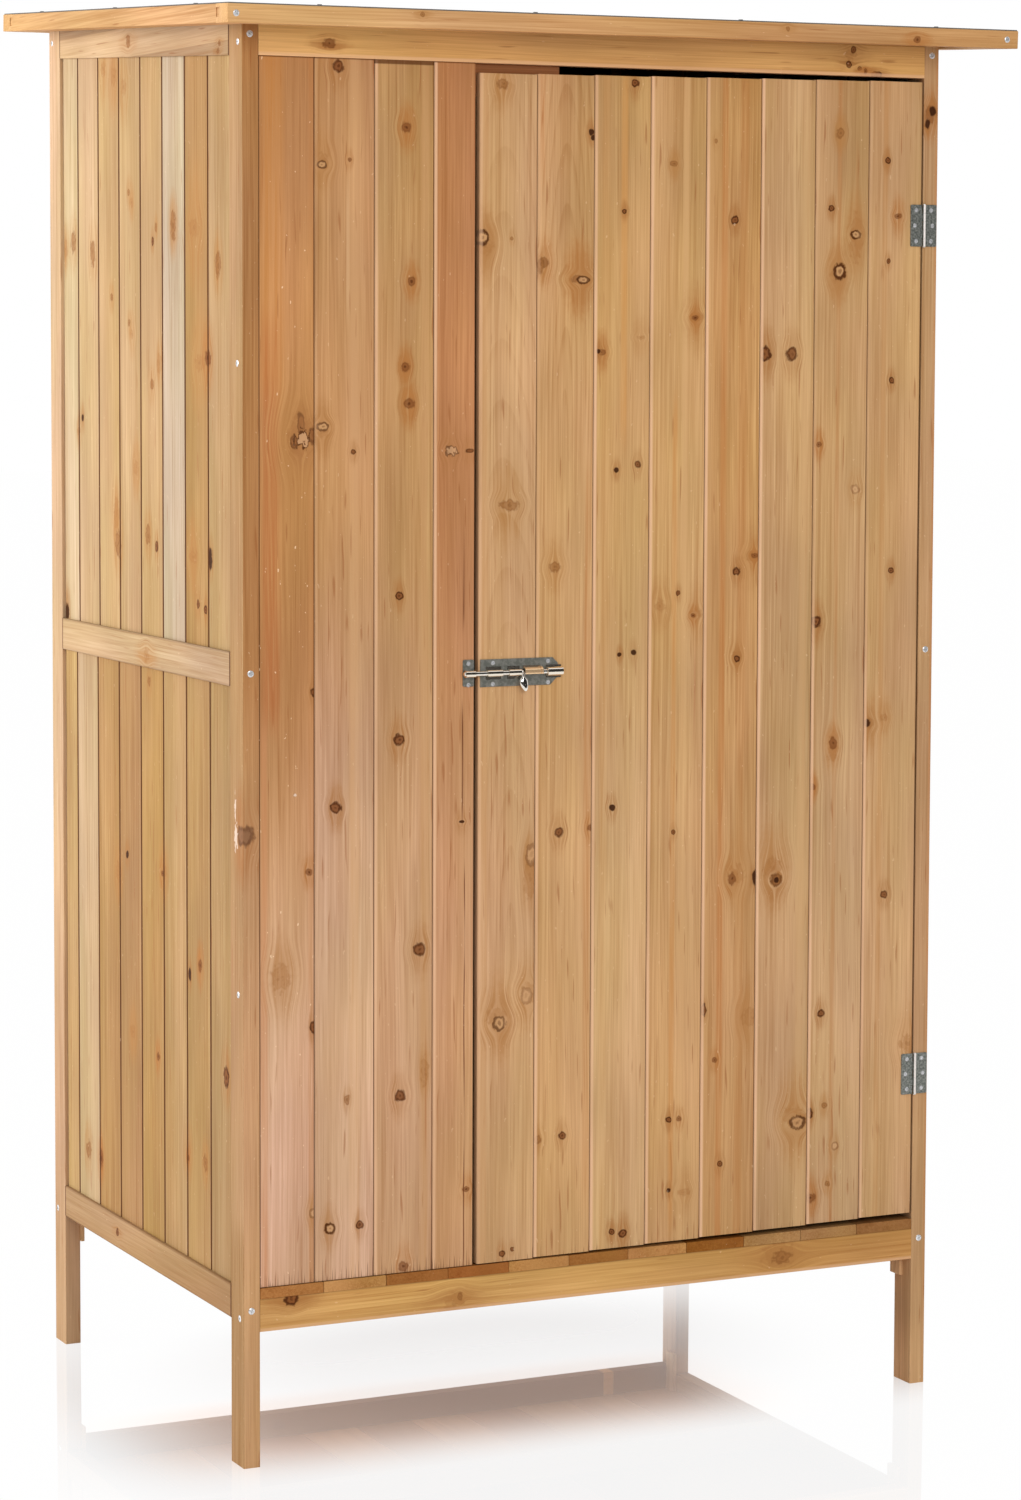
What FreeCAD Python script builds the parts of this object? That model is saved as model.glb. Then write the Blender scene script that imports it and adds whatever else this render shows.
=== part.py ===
import FreeCAD, Part
import math
import os

from FreeCAD import Placement, Rotation, Vector

# Garden storage cabinet on four legs: a fixed panel on the left of the front, one hinged door on the
# right with a sliding bolt, tongued and grooved boards all round, and a felted roof that falls to the
# front. Millimetres, +Z up, the front looks along -Y. The origin is on the floor under the roof's middle.

# Body frame
body_width = 900.0
body_depth = 653.0
front_post_height = 1634.5
post_face = 20.0
post_depth = 39.0
rail_thickness = 20.0
front_rail_height = 38.0
side_rail_height = 39.0
front_bottom_rail_z = 156.0
front_top_rail_gap = 1.4
side_bottom_rail_z = 166.2
side_middle_rail_z = 890.0
top_rail_gap = 0.9
back_top_rail_gap = 1.4
eased_edge = 1.2
corner_plate_thickness = 4.5
corner_plate_width = 22.0
corner_plate_drop = 24.0

# Tongued and grooved boards
board_thickness = 10.0
board_cover = 73.6
tongue_length = 4.0
tongue_thickness = 3.0
tongue_clearance = 0.2
seam_gap = 0.4
seam_bevel = 0.9
narrowest_board = 20.0
cut_margin = 1.0
wall_inset = 4.5
rail_groove_depth = 6.0
board_entry = 5.0
groove_clearance = 0.2
upper_first_board = 77.0
upper_cover = 73.8
lower_first_board = 73.0
lower_cover = 76.2
back_first_board = 60.0
end_clearance = 0.3

# Floor
floor_board_count = 11
floor_board_thickness = 12.2
floor_board_gap = 0.6
bearer_thickness = 20.0

# Fixed panel at the left of the front
fixed_panel_width = 266.7
fixed_first_board = 67.7
fixed_panel_inset = 1.5
fixed_panel_lift = 0.9
batten_height = 38.0
batten_thickness = 12.0
door_stop_reach = 110.3
upper_batten_drop = 341.1
lower_batten_z = 542.0
batten_seat = 0.05

# Door
door_left_gap = 4.3
door_right_gap = 1.5
door_board_count = 8
door_top_gap = 5.0
door_bottom_gap = 1.6
door_sag_step = 0.9
door_batten_margin = 14.0
door_bottom_batten_rise = 178.7
door_top_batten_drop = 171.1

# Butt hinges
hinge_axis_offset = 2.3
hinge_axis_gap = 0.5
hinge_height = 50.0
hinge_leaf_reach = 18.0
hinge_leaf_thickness = 1.2
knuckle_radius = 1.9
knuckle_count = 5
knuckle_end_gap = 0.25
knuckle_swing_gap = 0.4
pin_radius = 1.0
pin_clearance = 0.05
pin_head_radius = 1.6
pin_head_length = 0.8
hinge_corner_radius = 1.5
hinge_screw_spacing = 18.5
hinge_screw_offset = 10.3
hinge_screw_stagger = 2.0

# Sliding bolt
bolt_axis_z = 897.9
bolt_plate_start = 2.0
bolt_plate_length = 99.5
bolt_plate_height = 31.8
bolt_plate_top = 15.9
bolt_plate_thickness = 1.2
bolt_plate_corner_top = 7.0
bolt_plate_corner_bottom = 10.0
rod_radius = 3.0
rod_standoff = 0.3
rod_clearance = 0.15
rod_tip_past_keeper = 1.0
rod_tip_chamfer = 0.8
rod_tail_inset = 1.0
rod_travel = 28.0
strap_wall = 1.0
strap_foot_reach = 7.4
strap_foot_thickness = 0.7
first_strap_start = 9.0
first_strap_length = 19.0
second_strap_length = 15.4
sleeve_length = 20.0
sleeve_radius = 5.7
sleeve_wall = 1.1
sleeve_lip_drop = 1.9
sleeve_ring_length = 2.6
sleeve_ring_rise = 0.7
collar_length = 19.4
collar_wall = 2.2
handle_offset = 54.0
handle_slot_gap = 0.5
handle_stop_gap = 2.0
handle_hub_length = 5.0
handle_core_radius = 1.5
handle_core_clearance = 0.05
handle_hub_end_gap = 0.1
handle_neck_radius = 1.6
handle_neck_past_sleeve = 1.0
handle_length = 22.3
handle_bulb_radius = 3.3
handle_bulb_share = 0.55
handle_tip_length = 1.5
handle_lean = 12.0
keeper_width = 14.0
keeper_start = 15.0
keeper_top = 16.1
keeper_height = 31.0
keeper_loop_margin = 1.0
keeper_corner_radius = 2.0
plate_screw_rise = 11.5
plate_screw_fall = 12.9
plate_screw_start = 16.0
plate_screw_end = 12.8

# Roof
roof_left_overhang = 42.0
roof_right_overhang = 70.0
roof_front_overhang = 64.5
roof_back_overhang = 54.5
roof_fall = 0.0525
roof_cross_rise = 0.0049
roof_rail_height = 21.0
roof_rail_width = 35.0
roof_groove_z = 6.6
roof_groove_height = 10.3
roof_groove_depth = 10.0
roof_board_entry = 9.0
roof_joint_gap = 0.2
felt_thickness = 1.2
felt_inset = 1.0
felt_nail_spacing = 263.5
felt_nail_first = 110.0
felt_nail_edge = 5.0
felt_nail_radius = 2.6
felt_nail_head = 0.9
felt_nail_length = 16.0
felt_nail_shank = 1.1
roof_screw_left = 10.0
roof_screw_right = 15.0
roof_screw_back_inset = 12.0

# Screws: radius and cone depth of the head, how far it stands proud, shank radius and length
frame_screw = {"head": 3.8, "cone": 2.4, "proud": 0.4, "shank": 2.0, "length": 62.0}
rail_screw = {"head": 3.8, "cone": 2.4, "proud": 0.4, "shank": 2.0, "length": 45.0}
roof_screw = {"head": 3.6, "cone": 2.4, "proud": 0.4, "shank": 1.8, "length": 60.0}
seat_screw = {"head": 3.2, "cone": 2.0, "proud": 0.0, "shank": 1.6, "length": 34.0}
panel_screw = {"head": 3.0, "cone": 2.0, "proud": 0.0, "shank": 1.6, "length": 19.0}
metal_screw = {"head": 2.7, "cone": 1.1, "proud": 0.6, "shank": 1.4, "length": 10.0}
screw_hole_clearance = 0.1
recess_width = 0.9
recess_share = 0.6
recess_depth = 1.1
recess_turn_step = 37.0
screw_dome_share = 0.72
screw_tip_radius = 0.2
post_screw_side = 9.6
front_screw_shift = {"bottom": -4.4, "middle": -2.6, "top": 2.0}
back_screw_shift = {"bottom": 5.0, "middle": -2.6, "top": -9.0}
rail_screw_side = 12.5
seat_screw_side = 15.0
seat_screw_inset = 27.0
rail_screw_drop = 4.0
batten_screw_side = 15.5
back_rail_screw_side = 10.5

parts = {}
screw_counter = {"made": 0}


def box(x0, x1, y0, y1, z0, z1):
    return Part.makeBox(x1 - x0, y1 - y0, z1 - z0, Vector(x0, y0, z0))


def eased_box(x0, x1, y0, y1, z0, z1, along, radius=eased_edge):
    """A sawn piece whose four long edges, which run along the named axis, are rounded."""
    piece = box(x0, x1, y0, y1, z0, z1)
    direction = {"x": Vector(1, 0, 0), "y": Vector(0, 1, 0), "z": Vector(0, 0, 1)}[along]
    long_edges = []
    for edge in piece.Edges:
        if abs(edge.tangentAt(edge.FirstParameter).dot(direction)) > 0.9:
            long_edges.append(edge)
    return piece.makeFillet(radius, long_edges)


def prism(points, sweep):
    outline = Part.makePolygon(points + [points[0]])
    return Part.Face(outline).extrude(sweep)


def join(shapes):
    first, rest = shapes[0], shapes[1:]
    return first.fuse(rest).removeSplitter() if rest else first


# The roof's plane. Roof pieces are drawn lying flat, with u to the right, v to the back and w up from
# the frame's underside, and are then laid on the slope.
roof_width = roof_left_overhang + body_width + roof_right_overhang
roof_depth = roof_front_overhang + body_depth + roof_back_overhang
far_away = 400.0
roof_tilt = Rotation(Vector(0, 1, 0), -math.degrees(math.atan(roof_cross_rise))).multiply(
    Rotation(Vector(1, 0, 0), math.degrees(math.atan(roof_fall))))
roof_corner_z = (front_post_height - roof_groove_z - roof_front_overhang * roof_fall
                 - roof_left_overhang * roof_cross_rise)
trial_corners = [roof_tilt.multVec(Vector(u, v, w)) for u in (0, roof_width) for v in (0, roof_depth)
                 for w in (0, roof_rail_height)]
roof_middle_x = (min(c.x for c in trial_corners) + max(c.x for c in trial_corners)) / 2
roof_middle_y = (min(c.y for c in trial_corners) + max(c.y for c in trial_corners)) / 2
roof_place = Placement(Vector(-roof_middle_x, -roof_middle_y, roof_corner_z), roof_tilt)

# Heights that follow from those above
front_top_rail_z = front_post_height - front_top_rail_gap - front_rail_height
upper_batten_z = front_top_rail_z - upper_batten_drop
door_lowest_edge_z = front_bottom_rail_z + front_rail_height + floor_board_thickness + door_bottom_gap
door_highest_edge_z = front_top_rail_z - door_top_gap
door_board_length = door_highest_edge_z - door_lowest_edge_z - door_sag_step * (door_board_count - 1)
door_bottom_batten_z = door_lowest_edge_z + door_bottom_batten_rise
door_top_batten_z = door_highest_edge_z - door_top_batten_drop

# Faces of the body
left = -roof_middle_x + roof_left_overhang
right = left + body_width
front = -roof_middle_y + roof_front_overhang
back = front + body_depth
inner_left = left + post_face
inner_right = right - post_face
side_front = front + post_depth
side_back = back - post_depth


def roof_box(u0, u1, v0, v1, w0, w1):
    flat = Part.makeBox(u1 - u0, v1 - v0, w1 - w0, Vector(u0, v0, w0))
    return on_roof(flat)


def on_roof(flat):
    flat.Placement = roof_place.multiply(flat.Placement)
    return flat


def above_seat(drop=0.0):
    """All that lies above the plane the roof boards rest on, lowered by drop."""
    return roof_box(-far_away, roof_width + far_away, -far_away, roof_depth + far_away,
                    roof_groove_z - drop, far_away)


def below_seat(drop):
    return roof_box(-far_away, roof_width + far_away, -far_away, roof_depth + far_away,
                    -front_post_height, roof_groove_z - drop)


def tallest():
    return front_post_height + (roof_depth + roof_width) * (roof_fall + roof_cross_rise)


# Tongued and grooved boards


def board_spans(start, end, first, cover):
    """The two edges of each board of a row, whose first and last boards are trimmed."""
    edges = [start, start + first]
    while edges[-1] + cover < end - narrowest_board:
        edges.append(edges[-1] + cover)
    edges.append(end)
    return list(zip(edges[:-1], edges[1:]))


def board_section(start, end, grooved, tongued, thickness=board_thickness):
    """Outline of a board as (distance along the wall, depth behind its outer face)."""
    start += seam_gap / 2
    end -= seam_gap / 2
    tongue_low = (thickness - tongue_thickness) / 2
    tongue_high = tongue_low + tongue_thickness
    groove_low = tongue_low - tongue_clearance
    groove_high = tongue_high + tongue_clearance
    groove_bottom = start + tongue_length + tongue_clearance
    outline = [(start, seam_bevel), (start + seam_bevel, 0), (end - seam_bevel, 0), (end, seam_bevel)]
    if tongued:
        tip = end + tongue_length
        outline += [(end, tongue_low), (tip, tongue_low), (tip, tongue_high), (end, tongue_high)]
    outline += [(end, thickness), (start, thickness)]
    if grooved:
        outline += [(start, groove_high), (groove_bottom, groove_high), (groove_bottom, groove_low),
                    (start, groove_low)]
    return outline


def wall_boards(spans, to_xy, z0, z1):
    """Upright boards; to_xy turns (along, depth) of the section into x and y."""
    boards = []
    for number, (start, end) in enumerate(spans):
        outline = board_section(start, end, number > 0, number < len(spans) - 1)
        points = [Vector(*to_xy(along, depth), z0) for along, depth in outline]
        boards.append(prism(points, Vector(0, 0, z1 - z0)))
    return boards


# Screws


def screw_body(size, extra, recess):
    """A countersunk screw with its head's rim at z = 0, pointing down; extra widens it into a hole."""
    head = size["head"] + extra
    shank = size["shank"] + extra
    point = size["length"]
    body = Part.makeCone(shank, head, size["cone"], Vector(0, 0, -size["cone"]))
    tip = 2 * size["shank"]
    straight = point - tip - size["cone"] / 2
    body = body.fuse(Part.makeCylinder(shank, straight, Vector(0, 0, -point + tip)))
    body = body.fuse(Part.makeCone(screw_tip_radius + extra, shank, tip, Vector(0, 0, -point)))
    if size["proud"] > 0:
        body = body.fuse(Part.makeCone(head, head * screw_dome_share, size["proud"]))
    if recess:
        reach = size["head"] * recess_share
        top = size["proud"]
        for turn in (0, 90):
            slot = Part.makeBox(2 * reach, recess_width, recess_depth + cut_margin,
                                Vector(-reach, -recess_width / 2, top - recess_depth))
            slot.rotate(Vector(0, 0, 0), Vector(0, 0, 1), turn)
            body = body.cut(slot)
    return body


def drive(node, size, point, direction, targets, seat=0.0):
    """Puts a screw in node and its hole in the targets; seat lifts the head onto a plate."""
    screw_counter["made"] += 1
    towards = Rotation(Vector(0, 0, -1), direction)
    start = point - direction * seat
    spin = Rotation(Vector(0, 0, 1), screw_counter["made"] * recess_turn_step)
    place = Placement(start, towards.multiply(spin))
    screw = screw_body(size, 0.0, True)
    screw.Placement = place
    parts.setdefault(node, []).append(screw)
    hole = screw_body(size, screw_hole_clearance, False)
    hole.Placement = place
    for target in targets:
        parts[target] = [solid.cut(hole) if solid.BoundBox.intersect(hole.BoundBox) else solid
                         for solid in parts[target]]


# Posts


def make_posts():
    for side, x0 in (("left", left), ("right", inner_right)):
        for end, y0 in (("front", front), ("back", side_back)):
            post = eased_box(x0, x0 + post_face, y0, y0 + post_depth, 0, tallest(), "z")
            parts["post_%s_%s" % (end, side)] = [post.cut(above_seat())]


# Rails of the front and the back


def back_rail_z():
    seat = front_post_height + roof_fall * (body_depth - rail_thickness)
    return seat - back_top_rail_gap - front_rail_height


def make_front_and_back_rails():
    for name, y0, z0 in (("front_bottom_rail", front, front_bottom_rail_z),
                         ("front_top_rail", front, front_top_rail_z),
                         ("back_bottom_rail", back - rail_thickness, front_bottom_rail_z),
                         ("back_top_rail", back - rail_thickness, back_rail_z())):
        rail = eased_box(inner_left, inner_right, y0, y0 + rail_thickness, z0, z0 + front_rail_height, "x")
        parts[name] = [rail]
    groove_y1 = back - wall_inset + groove_clearance
    groove_y0 = back - wall_inset - board_thickness - groove_clearance
    low = box(inner_left, inner_right, groove_y0, groove_y1, floor_z() - rail_groove_depth,
              floor_z() + cut_margin)
    high = box(inner_left, inner_right, groove_y0, groove_y1, back_rail_z() - cut_margin,
               back_rail_z() + rail_groove_depth)
    parts["back_bottom_rail"] = [parts["back_bottom_rail"][0].cut(low)]
    parts["back_top_rail"] = [parts["back_top_rail"][0].cut(high)]


# Side walls


def make_side(side):
    outer = left if side == "left" else right
    inward = 1 if side == "left" else -1
    x0 = min(outer, outer + inward * rail_thickness)
    x1 = max(outer, outer + inward * rail_thickness)
    face = outer + inward * wall_inset
    groove_x0 = min(face, face + inward * board_thickness) - groove_clearance
    groove_x1 = max(face, face + inward * board_thickness) + groove_clearance
    bottom_top = side_bottom_rail_z + side_rail_height
    middle_top = side_middle_rail_z + side_rail_height

    def groove(z0, z1):
        return box(groove_x0, groove_x1, side_front - cut_margin, side_back + cut_margin, z0, z1)

    bottom = eased_box(x0, x1, side_front, side_back, side_bottom_rail_z, bottom_top, "y")
    slot = groove(bottom_top - rail_groove_depth, bottom_top + cut_margin)
    parts[side + "_bottom_rail"] = [bottom.cut(slot)]
    middle = eased_box(x0, x1, side_front, side_back, side_middle_rail_z, middle_top, "y")
    middle = middle.cut(groove(side_middle_rail_z - cut_margin, side_middle_rail_z + rail_groove_depth))
    slot = groove(middle_top - rail_groove_depth, middle_top + cut_margin)
    parts[side + "_middle_rail"] = [middle.cut(slot)]

    rail_drop = top_rail_gap + side_rail_height
    top = box(x0, x1, side_front, side_back, middle_top, tallest())
    top = top.cut(above_seat(top_rail_gap)).cut(below_seat(rail_drop))
    long_edges = [edge for edge in top.Edges if edge.BoundBox.YLength > 0.9 * (side_back - side_front)]
    top = top.makeFillet(eased_edge, long_edges)
    slot = groove(middle_top, tallest()).cut(above_seat(rail_drop - rail_groove_depth))
    parts[side + "_top_rail"] = [top.cut(slot)]

    def to_xy(along, depth):
        return face + inward * depth, along

    wall_start = side_front + end_clearance
    wall_end = side_back - end_clearance
    lower = board_spans(wall_start, wall_end, lower_first_board, lower_cover)
    parts[side + "_lower_boards"] = wall_boards(lower, to_xy, bottom_top - board_entry,
                                                side_middle_rail_z + board_entry)
    upper = board_spans(wall_start, wall_end, upper_first_board, upper_cover)
    tall = wall_boards(upper, to_xy, middle_top - board_entry, tallest())
    cutter = above_seat(rail_drop - board_entry)
    parts[side + "_upper_boards"] = [board.cut(cutter) for board in tall]


# Back wall


def make_back():
    face = back - wall_inset

    def to_xy(along, depth):
        return along, face - depth

    wall_start = inner_left + end_clearance
    wall_end = inner_right - end_clearance
    spans = board_spans(wall_start, wall_end, back_first_board, board_cover)
    parts["back_boards"] = wall_boards(spans, to_xy, floor_z() - board_entry, back_rail_z() + board_entry)
    inside = face - board_thickness - batten_seat
    battens = []
    for height in (upper_batten_z, lower_batten_z):
        battens.append(eased_box(wall_start, wall_end, inside - batten_thickness, inside,
                                 height - batten_height / 2, height + batten_height / 2, "x"))
    parts["back_battens"] = battens
    for height in (upper_batten_z, lower_batten_z):
        for start, end in spans:
            point = Vector((start + end) / 2, inside - batten_thickness, height)
            drive("frame_screws", panel_screw, point, Vector(0, 1, 0), ["back_battens", "back_boards"])


# Floor


def floor_z():
    return front_bottom_rail_z + front_rail_height


def make_floor():
    pitch = (inner_right - inner_left) / floor_board_count
    floor_back = back - wall_inset - board_thickness - end_clearance
    boards = []
    for number in range(floor_board_count):
        x0 = inner_left + number * pitch + floor_board_gap / 2
        boards.append(eased_box(x0, x0 + pitch - floor_board_gap, front, floor_back, floor_z(),
                                floor_z() + floor_board_thickness, "y", seam_bevel))
    parts["floor_boards"] = boards
    middle = (front + back) / 2
    parts["floor_bearer"] = [eased_box(inner_left, inner_right, middle - bearer_thickness / 2,
                                       middle + bearer_thickness / 2, front_bottom_rail_z, floor_z(), "x")]
    plates = []
    for x0 in (inner_left, inner_right - corner_plate_thickness):
        for y0 in (front + rail_thickness, back - rail_thickness - corner_plate_width):
            plates.append(box(x0, x0 + corner_plate_thickness, y0, y0 + corner_plate_width,
                              front_bottom_rail_z - corner_plate_drop, floor_z()))
    parts["corner_plates"] = plates


# Fixed panel


def fixed_face():
    return front + fixed_panel_inset


def make_fixed_panel():
    def to_xy(along, depth):
        return along, fixed_face() + depth

    panel_end = inner_left + fixed_panel_width
    spans = board_spans(inner_left + end_clearance, panel_end, fixed_first_board - end_clearance, board_cover)
    bottom = floor_z() + floor_board_thickness + fixed_panel_lift
    for number, board in enumerate(wall_boards(spans, to_xy, bottom, front_top_rail_z)):
        parts["fixed_panel_board_%d" % (number + 1)] = [board]
    behind = fixed_face() + board_thickness + batten_seat
    parts["door_stop_batten"] = [eased_box(inner_left, panel_end + door_stop_reach, behind,
                                           behind + batten_thickness, front_top_rail_z - batten_height,
                                           front_top_rail_z, "x")]
    battens = []
    for height in (upper_batten_z, lower_batten_z):
        battens.append(eased_box(inner_left, panel_end - end_clearance, behind, behind + batten_thickness,
                                 height - batten_height / 2, height + batten_height / 2, "x"))
    parts["fixed_panel_battens"] = battens
    heights = (front_top_rail_z - batten_height / 2, upper_batten_z, lower_batten_z)
    for height in heights:
        for number, (start, end) in enumerate(spans):
            point = Vector((start + end) / 2, behind + batten_thickness, height)
            drive("frame_screws", panel_screw, point, Vector(0, -1, 0),
                  ["door_stop_batten", "fixed_panel_battens", "fixed_panel_board_%d" % (number + 1)])


# Door


def door_left():
    return inner_left + fixed_panel_width + door_left_gap


def door_right():
    return inner_right - door_right_gap


def door_spans():
    cover = (door_right() - door_left()) / door_board_count
    return [(door_left() + n * cover, door_left() + (n + 1) * cover) for n in range(door_board_count)]


def make_door():
    def to_xy(along, depth):
        return along, front + depth

    spans = door_spans()
    for number, (start, end) in enumerate(spans):
        bottom = door_lowest_edge_z + number * door_sag_step
        outline = board_section(start, end, number > 0, number < len(spans) - 1)
        points = [Vector(*to_xy(along, depth), bottom) for along, depth in outline]
        parts["door_board_%d" % (number + 1)] = [prism(points, Vector(0, 0, door_board_length))]
    behind = front + board_thickness + batten_seat
    slope = door_sag_step * door_board_count / (door_right() - door_left())
    battens = []
    for height in (door_bottom_batten_z, bolt_axis_z, door_top_batten_z):
        x0 = door_left() + door_batten_margin
        x1 = door_right() - door_batten_margin
        batten = eased_box(x0, x1, behind, behind + batten_thickness, height - batten_height / 2,
                           height + batten_height / 2, "x")
        batten.rotate(Vector(door_right(), behind, height), Vector(0, 1, 0), -math.degrees(math.atan(slope)))
        battens.append(batten)
    parts["door_battens"] = battens
    for height in (door_bottom_batten_z, bolt_axis_z, door_top_batten_z):
        for number, (start, end) in enumerate(spans):
            x = (start + end) / 2
            point = Vector(x, behind + batten_thickness, height - (door_right() - x) * slope)
            drive("door_screws", panel_screw, point, Vector(0, -1, 0),
                  ["door_battens", "door_board_%d" % (number + 1)])


# Hinges


def hinge_axis():
    return inner_right + hinge_axis_gap, front - hinge_axis_offset


def knuckle_spans(height):
    pitch = hinge_height / knuckle_count
    low = height - hinge_height / 2
    return [(low + n * pitch, low + (n + 1) * pitch) for n in range(knuckle_count)]


def hinge_leaf(height, side, own):
    """One leaf with its rolled knuckles; side is 1 for the post's leaf and -1 for the door's."""
    axis_x, axis_y = hinge_axis()
    plate_near = axis_x + side * (knuckle_radius + knuckle_swing_gap)
    plate_far = axis_x + side * hinge_leaf_reach
    low = height - hinge_height / 2
    x0, x1 = sorted((plate_near, plate_far))
    plate = box(x0, x1, front - hinge_leaf_thickness, front, low, low + hinge_height)
    corner_edges = [edge for edge in plate.Edges if edge.BoundBox.YLength > hinge_leaf_thickness / 2
                    and abs(edge.BoundBox.Center.x - plate_far) < hinge_leaf_thickness / 2]
    pieces = [plate.makeFillet(hinge_corner_radius, corner_edges)]
    for number, (z0, z1) in enumerate(knuckle_spans(height)):
        if number % 2 != own:
            continue
        z0 += knuckle_end_gap / 2
        z1 -= knuckle_end_gap / 2
        pieces.append(Part.makeCylinder(knuckle_radius, z1 - z0, Vector(axis_x, axis_y, z0)))
        near = axis_x + side * knuckle_radius / 2
        x0, x1 = sorted((near, plate_near + side * knuckle_swing_gap))
        pieces.append(box(x0, x1, front - hinge_leaf_thickness, front, z0, z1))
    leaf = join(pieces)
    bore = Part.makeCylinder(pin_radius + pin_clearance, hinge_height + 2 * cut_margin,
                             Vector(axis_x, axis_y, low - cut_margin))
    return leaf.cut(bore)


def make_hinges():
    axis_x, axis_y = hinge_axis()
    pins = []
    for name, height in (("lower", door_bottom_batten_z), ("upper", door_top_batten_z)):
        frame_leaf = name + "_hinge_frame_leaf"
        door_leaf = name + "_hinge_door_leaf"
        parts[frame_leaf] = [hinge_leaf(height, 1, 0)]
        parts[door_leaf] = [hinge_leaf(height, -1, 1)]
        pin = Part.makeCylinder(pin_radius, hinge_height, Vector(axis_x, axis_y, height - hinge_height / 2))
        for z0 in (height - hinge_height / 2 - pin_head_length, height + hinge_height / 2):
            pin = pin.fuse(Part.makeCylinder(pin_head_radius, pin_head_length, Vector(axis_x, axis_y, z0)))
        pins.append(pin)
        for step in (-1, 0, 1):
            reach = hinge_screw_offset + (hinge_screw_stagger if step == 0 else 0)
            z = height + step * hinge_screw_spacing
            drive("frame_hardware_screws", metal_screw, Vector(axis_x + reach, front, z), Vector(0, 1, 0),
                  [frame_leaf, "post_front_right"], hinge_leaf_thickness)
            drive("door_screws", metal_screw, Vector(axis_x - reach, front, z), Vector(0, 1, 0),
                  [door_leaf, "door_board_%d" % door_board_count], hinge_leaf_thickness)
    parts["hinge_pins"] = pins


# Sliding bolt


def rod_axis_y():
    return front - bolt_plate_thickness - rod_standoff - rod_radius


def strap(x0, length, bore_radius, wall, base_y, feet):
    """A strap bent over the rod, with straight legs down to the plate whose face is at base_y."""
    axis_y = rod_axis_y()
    outer_radius = bore_radius + wall

    def arch(radius):
        round_part = Part.makeCylinder(radius, length, Vector(x0, axis_y, bolt_axis_z), Vector(1, 0, 0))
        legs = box(x0, x0 + length, axis_y, base_y, bolt_axis_z - radius, bolt_axis_z + radius)
        return round_part.fuse(legs).common(box(x0, x0 + length, axis_y - 2 * radius, base_y,
                                                bolt_axis_z - 2 * radius, bolt_axis_z + 2 * radius))

    body = arch(outer_radius)
    if feet:
        body = body.fuse(box(x0, x0 + length, base_y - strap_foot_thickness, base_y,
                             bolt_axis_z - strap_foot_reach, bolt_axis_z + strap_foot_reach))
    return body.cut(arch(bore_radius))


def sleeve(x0, length, outer_radius, wall, base_y):
    """The long sleeve: open below, so that the handle's neck can pass along under its lip."""
    body = strap(x0, length, outer_radius - wall, wall, base_y, False)
    opening = box(x0 - cut_margin, x0 + length + cut_margin, rod_axis_y() - 2 * outer_radius, base_y,
                  bolt_axis_z - 2 * outer_radius, bolt_axis_z - sleeve_lip_drop)
    foot = box(x0, x0 + length, base_y - strap_foot_thickness, base_y, bolt_axis_z + outer_radius - wall,
               bolt_axis_z + strap_foot_reach)
    return body.cut(opening).fuse(foot)


def bolt_x(offset):
    return door_left() + offset


def handle_x():
    return bolt_x(handle_offset)


def second_strap_x():
    return handle_x() - handle_neck_radius - handle_slot_gap - second_strap_length


def sleeve_x():
    return handle_x() + handle_neck_radius + handle_slot_gap


def collar_x():
    return handle_x() + rod_travel + handle_neck_radius + handle_stop_gap


def make_bolt_plate():
    x0 = bolt_x(bolt_plate_start)
    x1 = x0 + bolt_plate_length
    top = bolt_axis_z + bolt_plate_top
    low = top - bolt_plate_height
    outline = [(x0, low), (x1 - bolt_plate_corner_bottom, low), (x1, low + bolt_plate_corner_bottom),
               (x1, top - bolt_plate_corner_top), (x1 - bolt_plate_corner_top, top), (x0, top)]
    plate = prism([Vector(x, front, z) for x, z in outline], Vector(0, -bolt_plate_thickness, 0))
    base = front - bolt_plate_thickness
    bore = rod_radius + rod_clearance
    pieces = [plate,
              strap(bolt_x(first_strap_start), first_strap_length, bore, strap_wall, base, True),
              strap(second_strap_x(), second_strap_length, bore, strap_wall, base, True),
              sleeve(sleeve_x(), sleeve_length, sleeve_radius, sleeve_wall, base),
              sleeve(sleeve_x() + sleeve_length, sleeve_ring_length, sleeve_radius + sleeve_ring_rise,
                     sleeve_wall + sleeve_ring_rise, base),
              strap(collar_x(), collar_length, bore, collar_wall, base, True)]
    parts["bolt_plate"] = [join(pieces)]
    for x in (x0 + plate_screw_start, x1 - plate_screw_end):
        for rise in (plate_screw_rise, -plate_screw_fall):
            board = 1 + [start <= x < end for start, end in door_spans()].index(True)
            drive("door_screws", metal_screw, Vector(x, front, bolt_axis_z + rise), Vector(0, 1, 0),
                  ["bolt_plate", "door_board_%d" % board], bolt_plate_thickness)


def keeper_x():
    return inner_left + fixed_panel_width - keeper_start


def make_keeper():
    x0 = keeper_x()
    top = bolt_axis_z + keeper_top
    base = fixed_face() - bolt_plate_thickness
    plate = box(x0, x0 + keeper_width, base, fixed_face(), top - keeper_height, top)
    corners = [edge for edge in plate.Edges if edge.BoundBox.YLength > bolt_plate_thickness / 2]
    plate = plate.makeFillet(keeper_corner_radius, corners)
    loop = strap(x0 + keeper_loop_margin, keeper_width - 2 * keeper_loop_margin, rod_radius + rod_clearance,
                 strap_wall, base, True)
    parts["bolt_keeper"] = [join([plate, loop])]
    last_board = max(int(name[-1]) for name in parts if name.startswith("fixed_panel_board_"))
    for rise in (plate_screw_rise, -plate_screw_fall):
        point = Vector(x0 + keeper_width / 2, fixed_face(), bolt_axis_z + rise)
        drive("frame_hardware_screws", metal_screw, point, Vector(0, 1, 0),
              ["bolt_keeper", "fixed_panel_board_%d" % last_board], bolt_plate_thickness)


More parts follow.
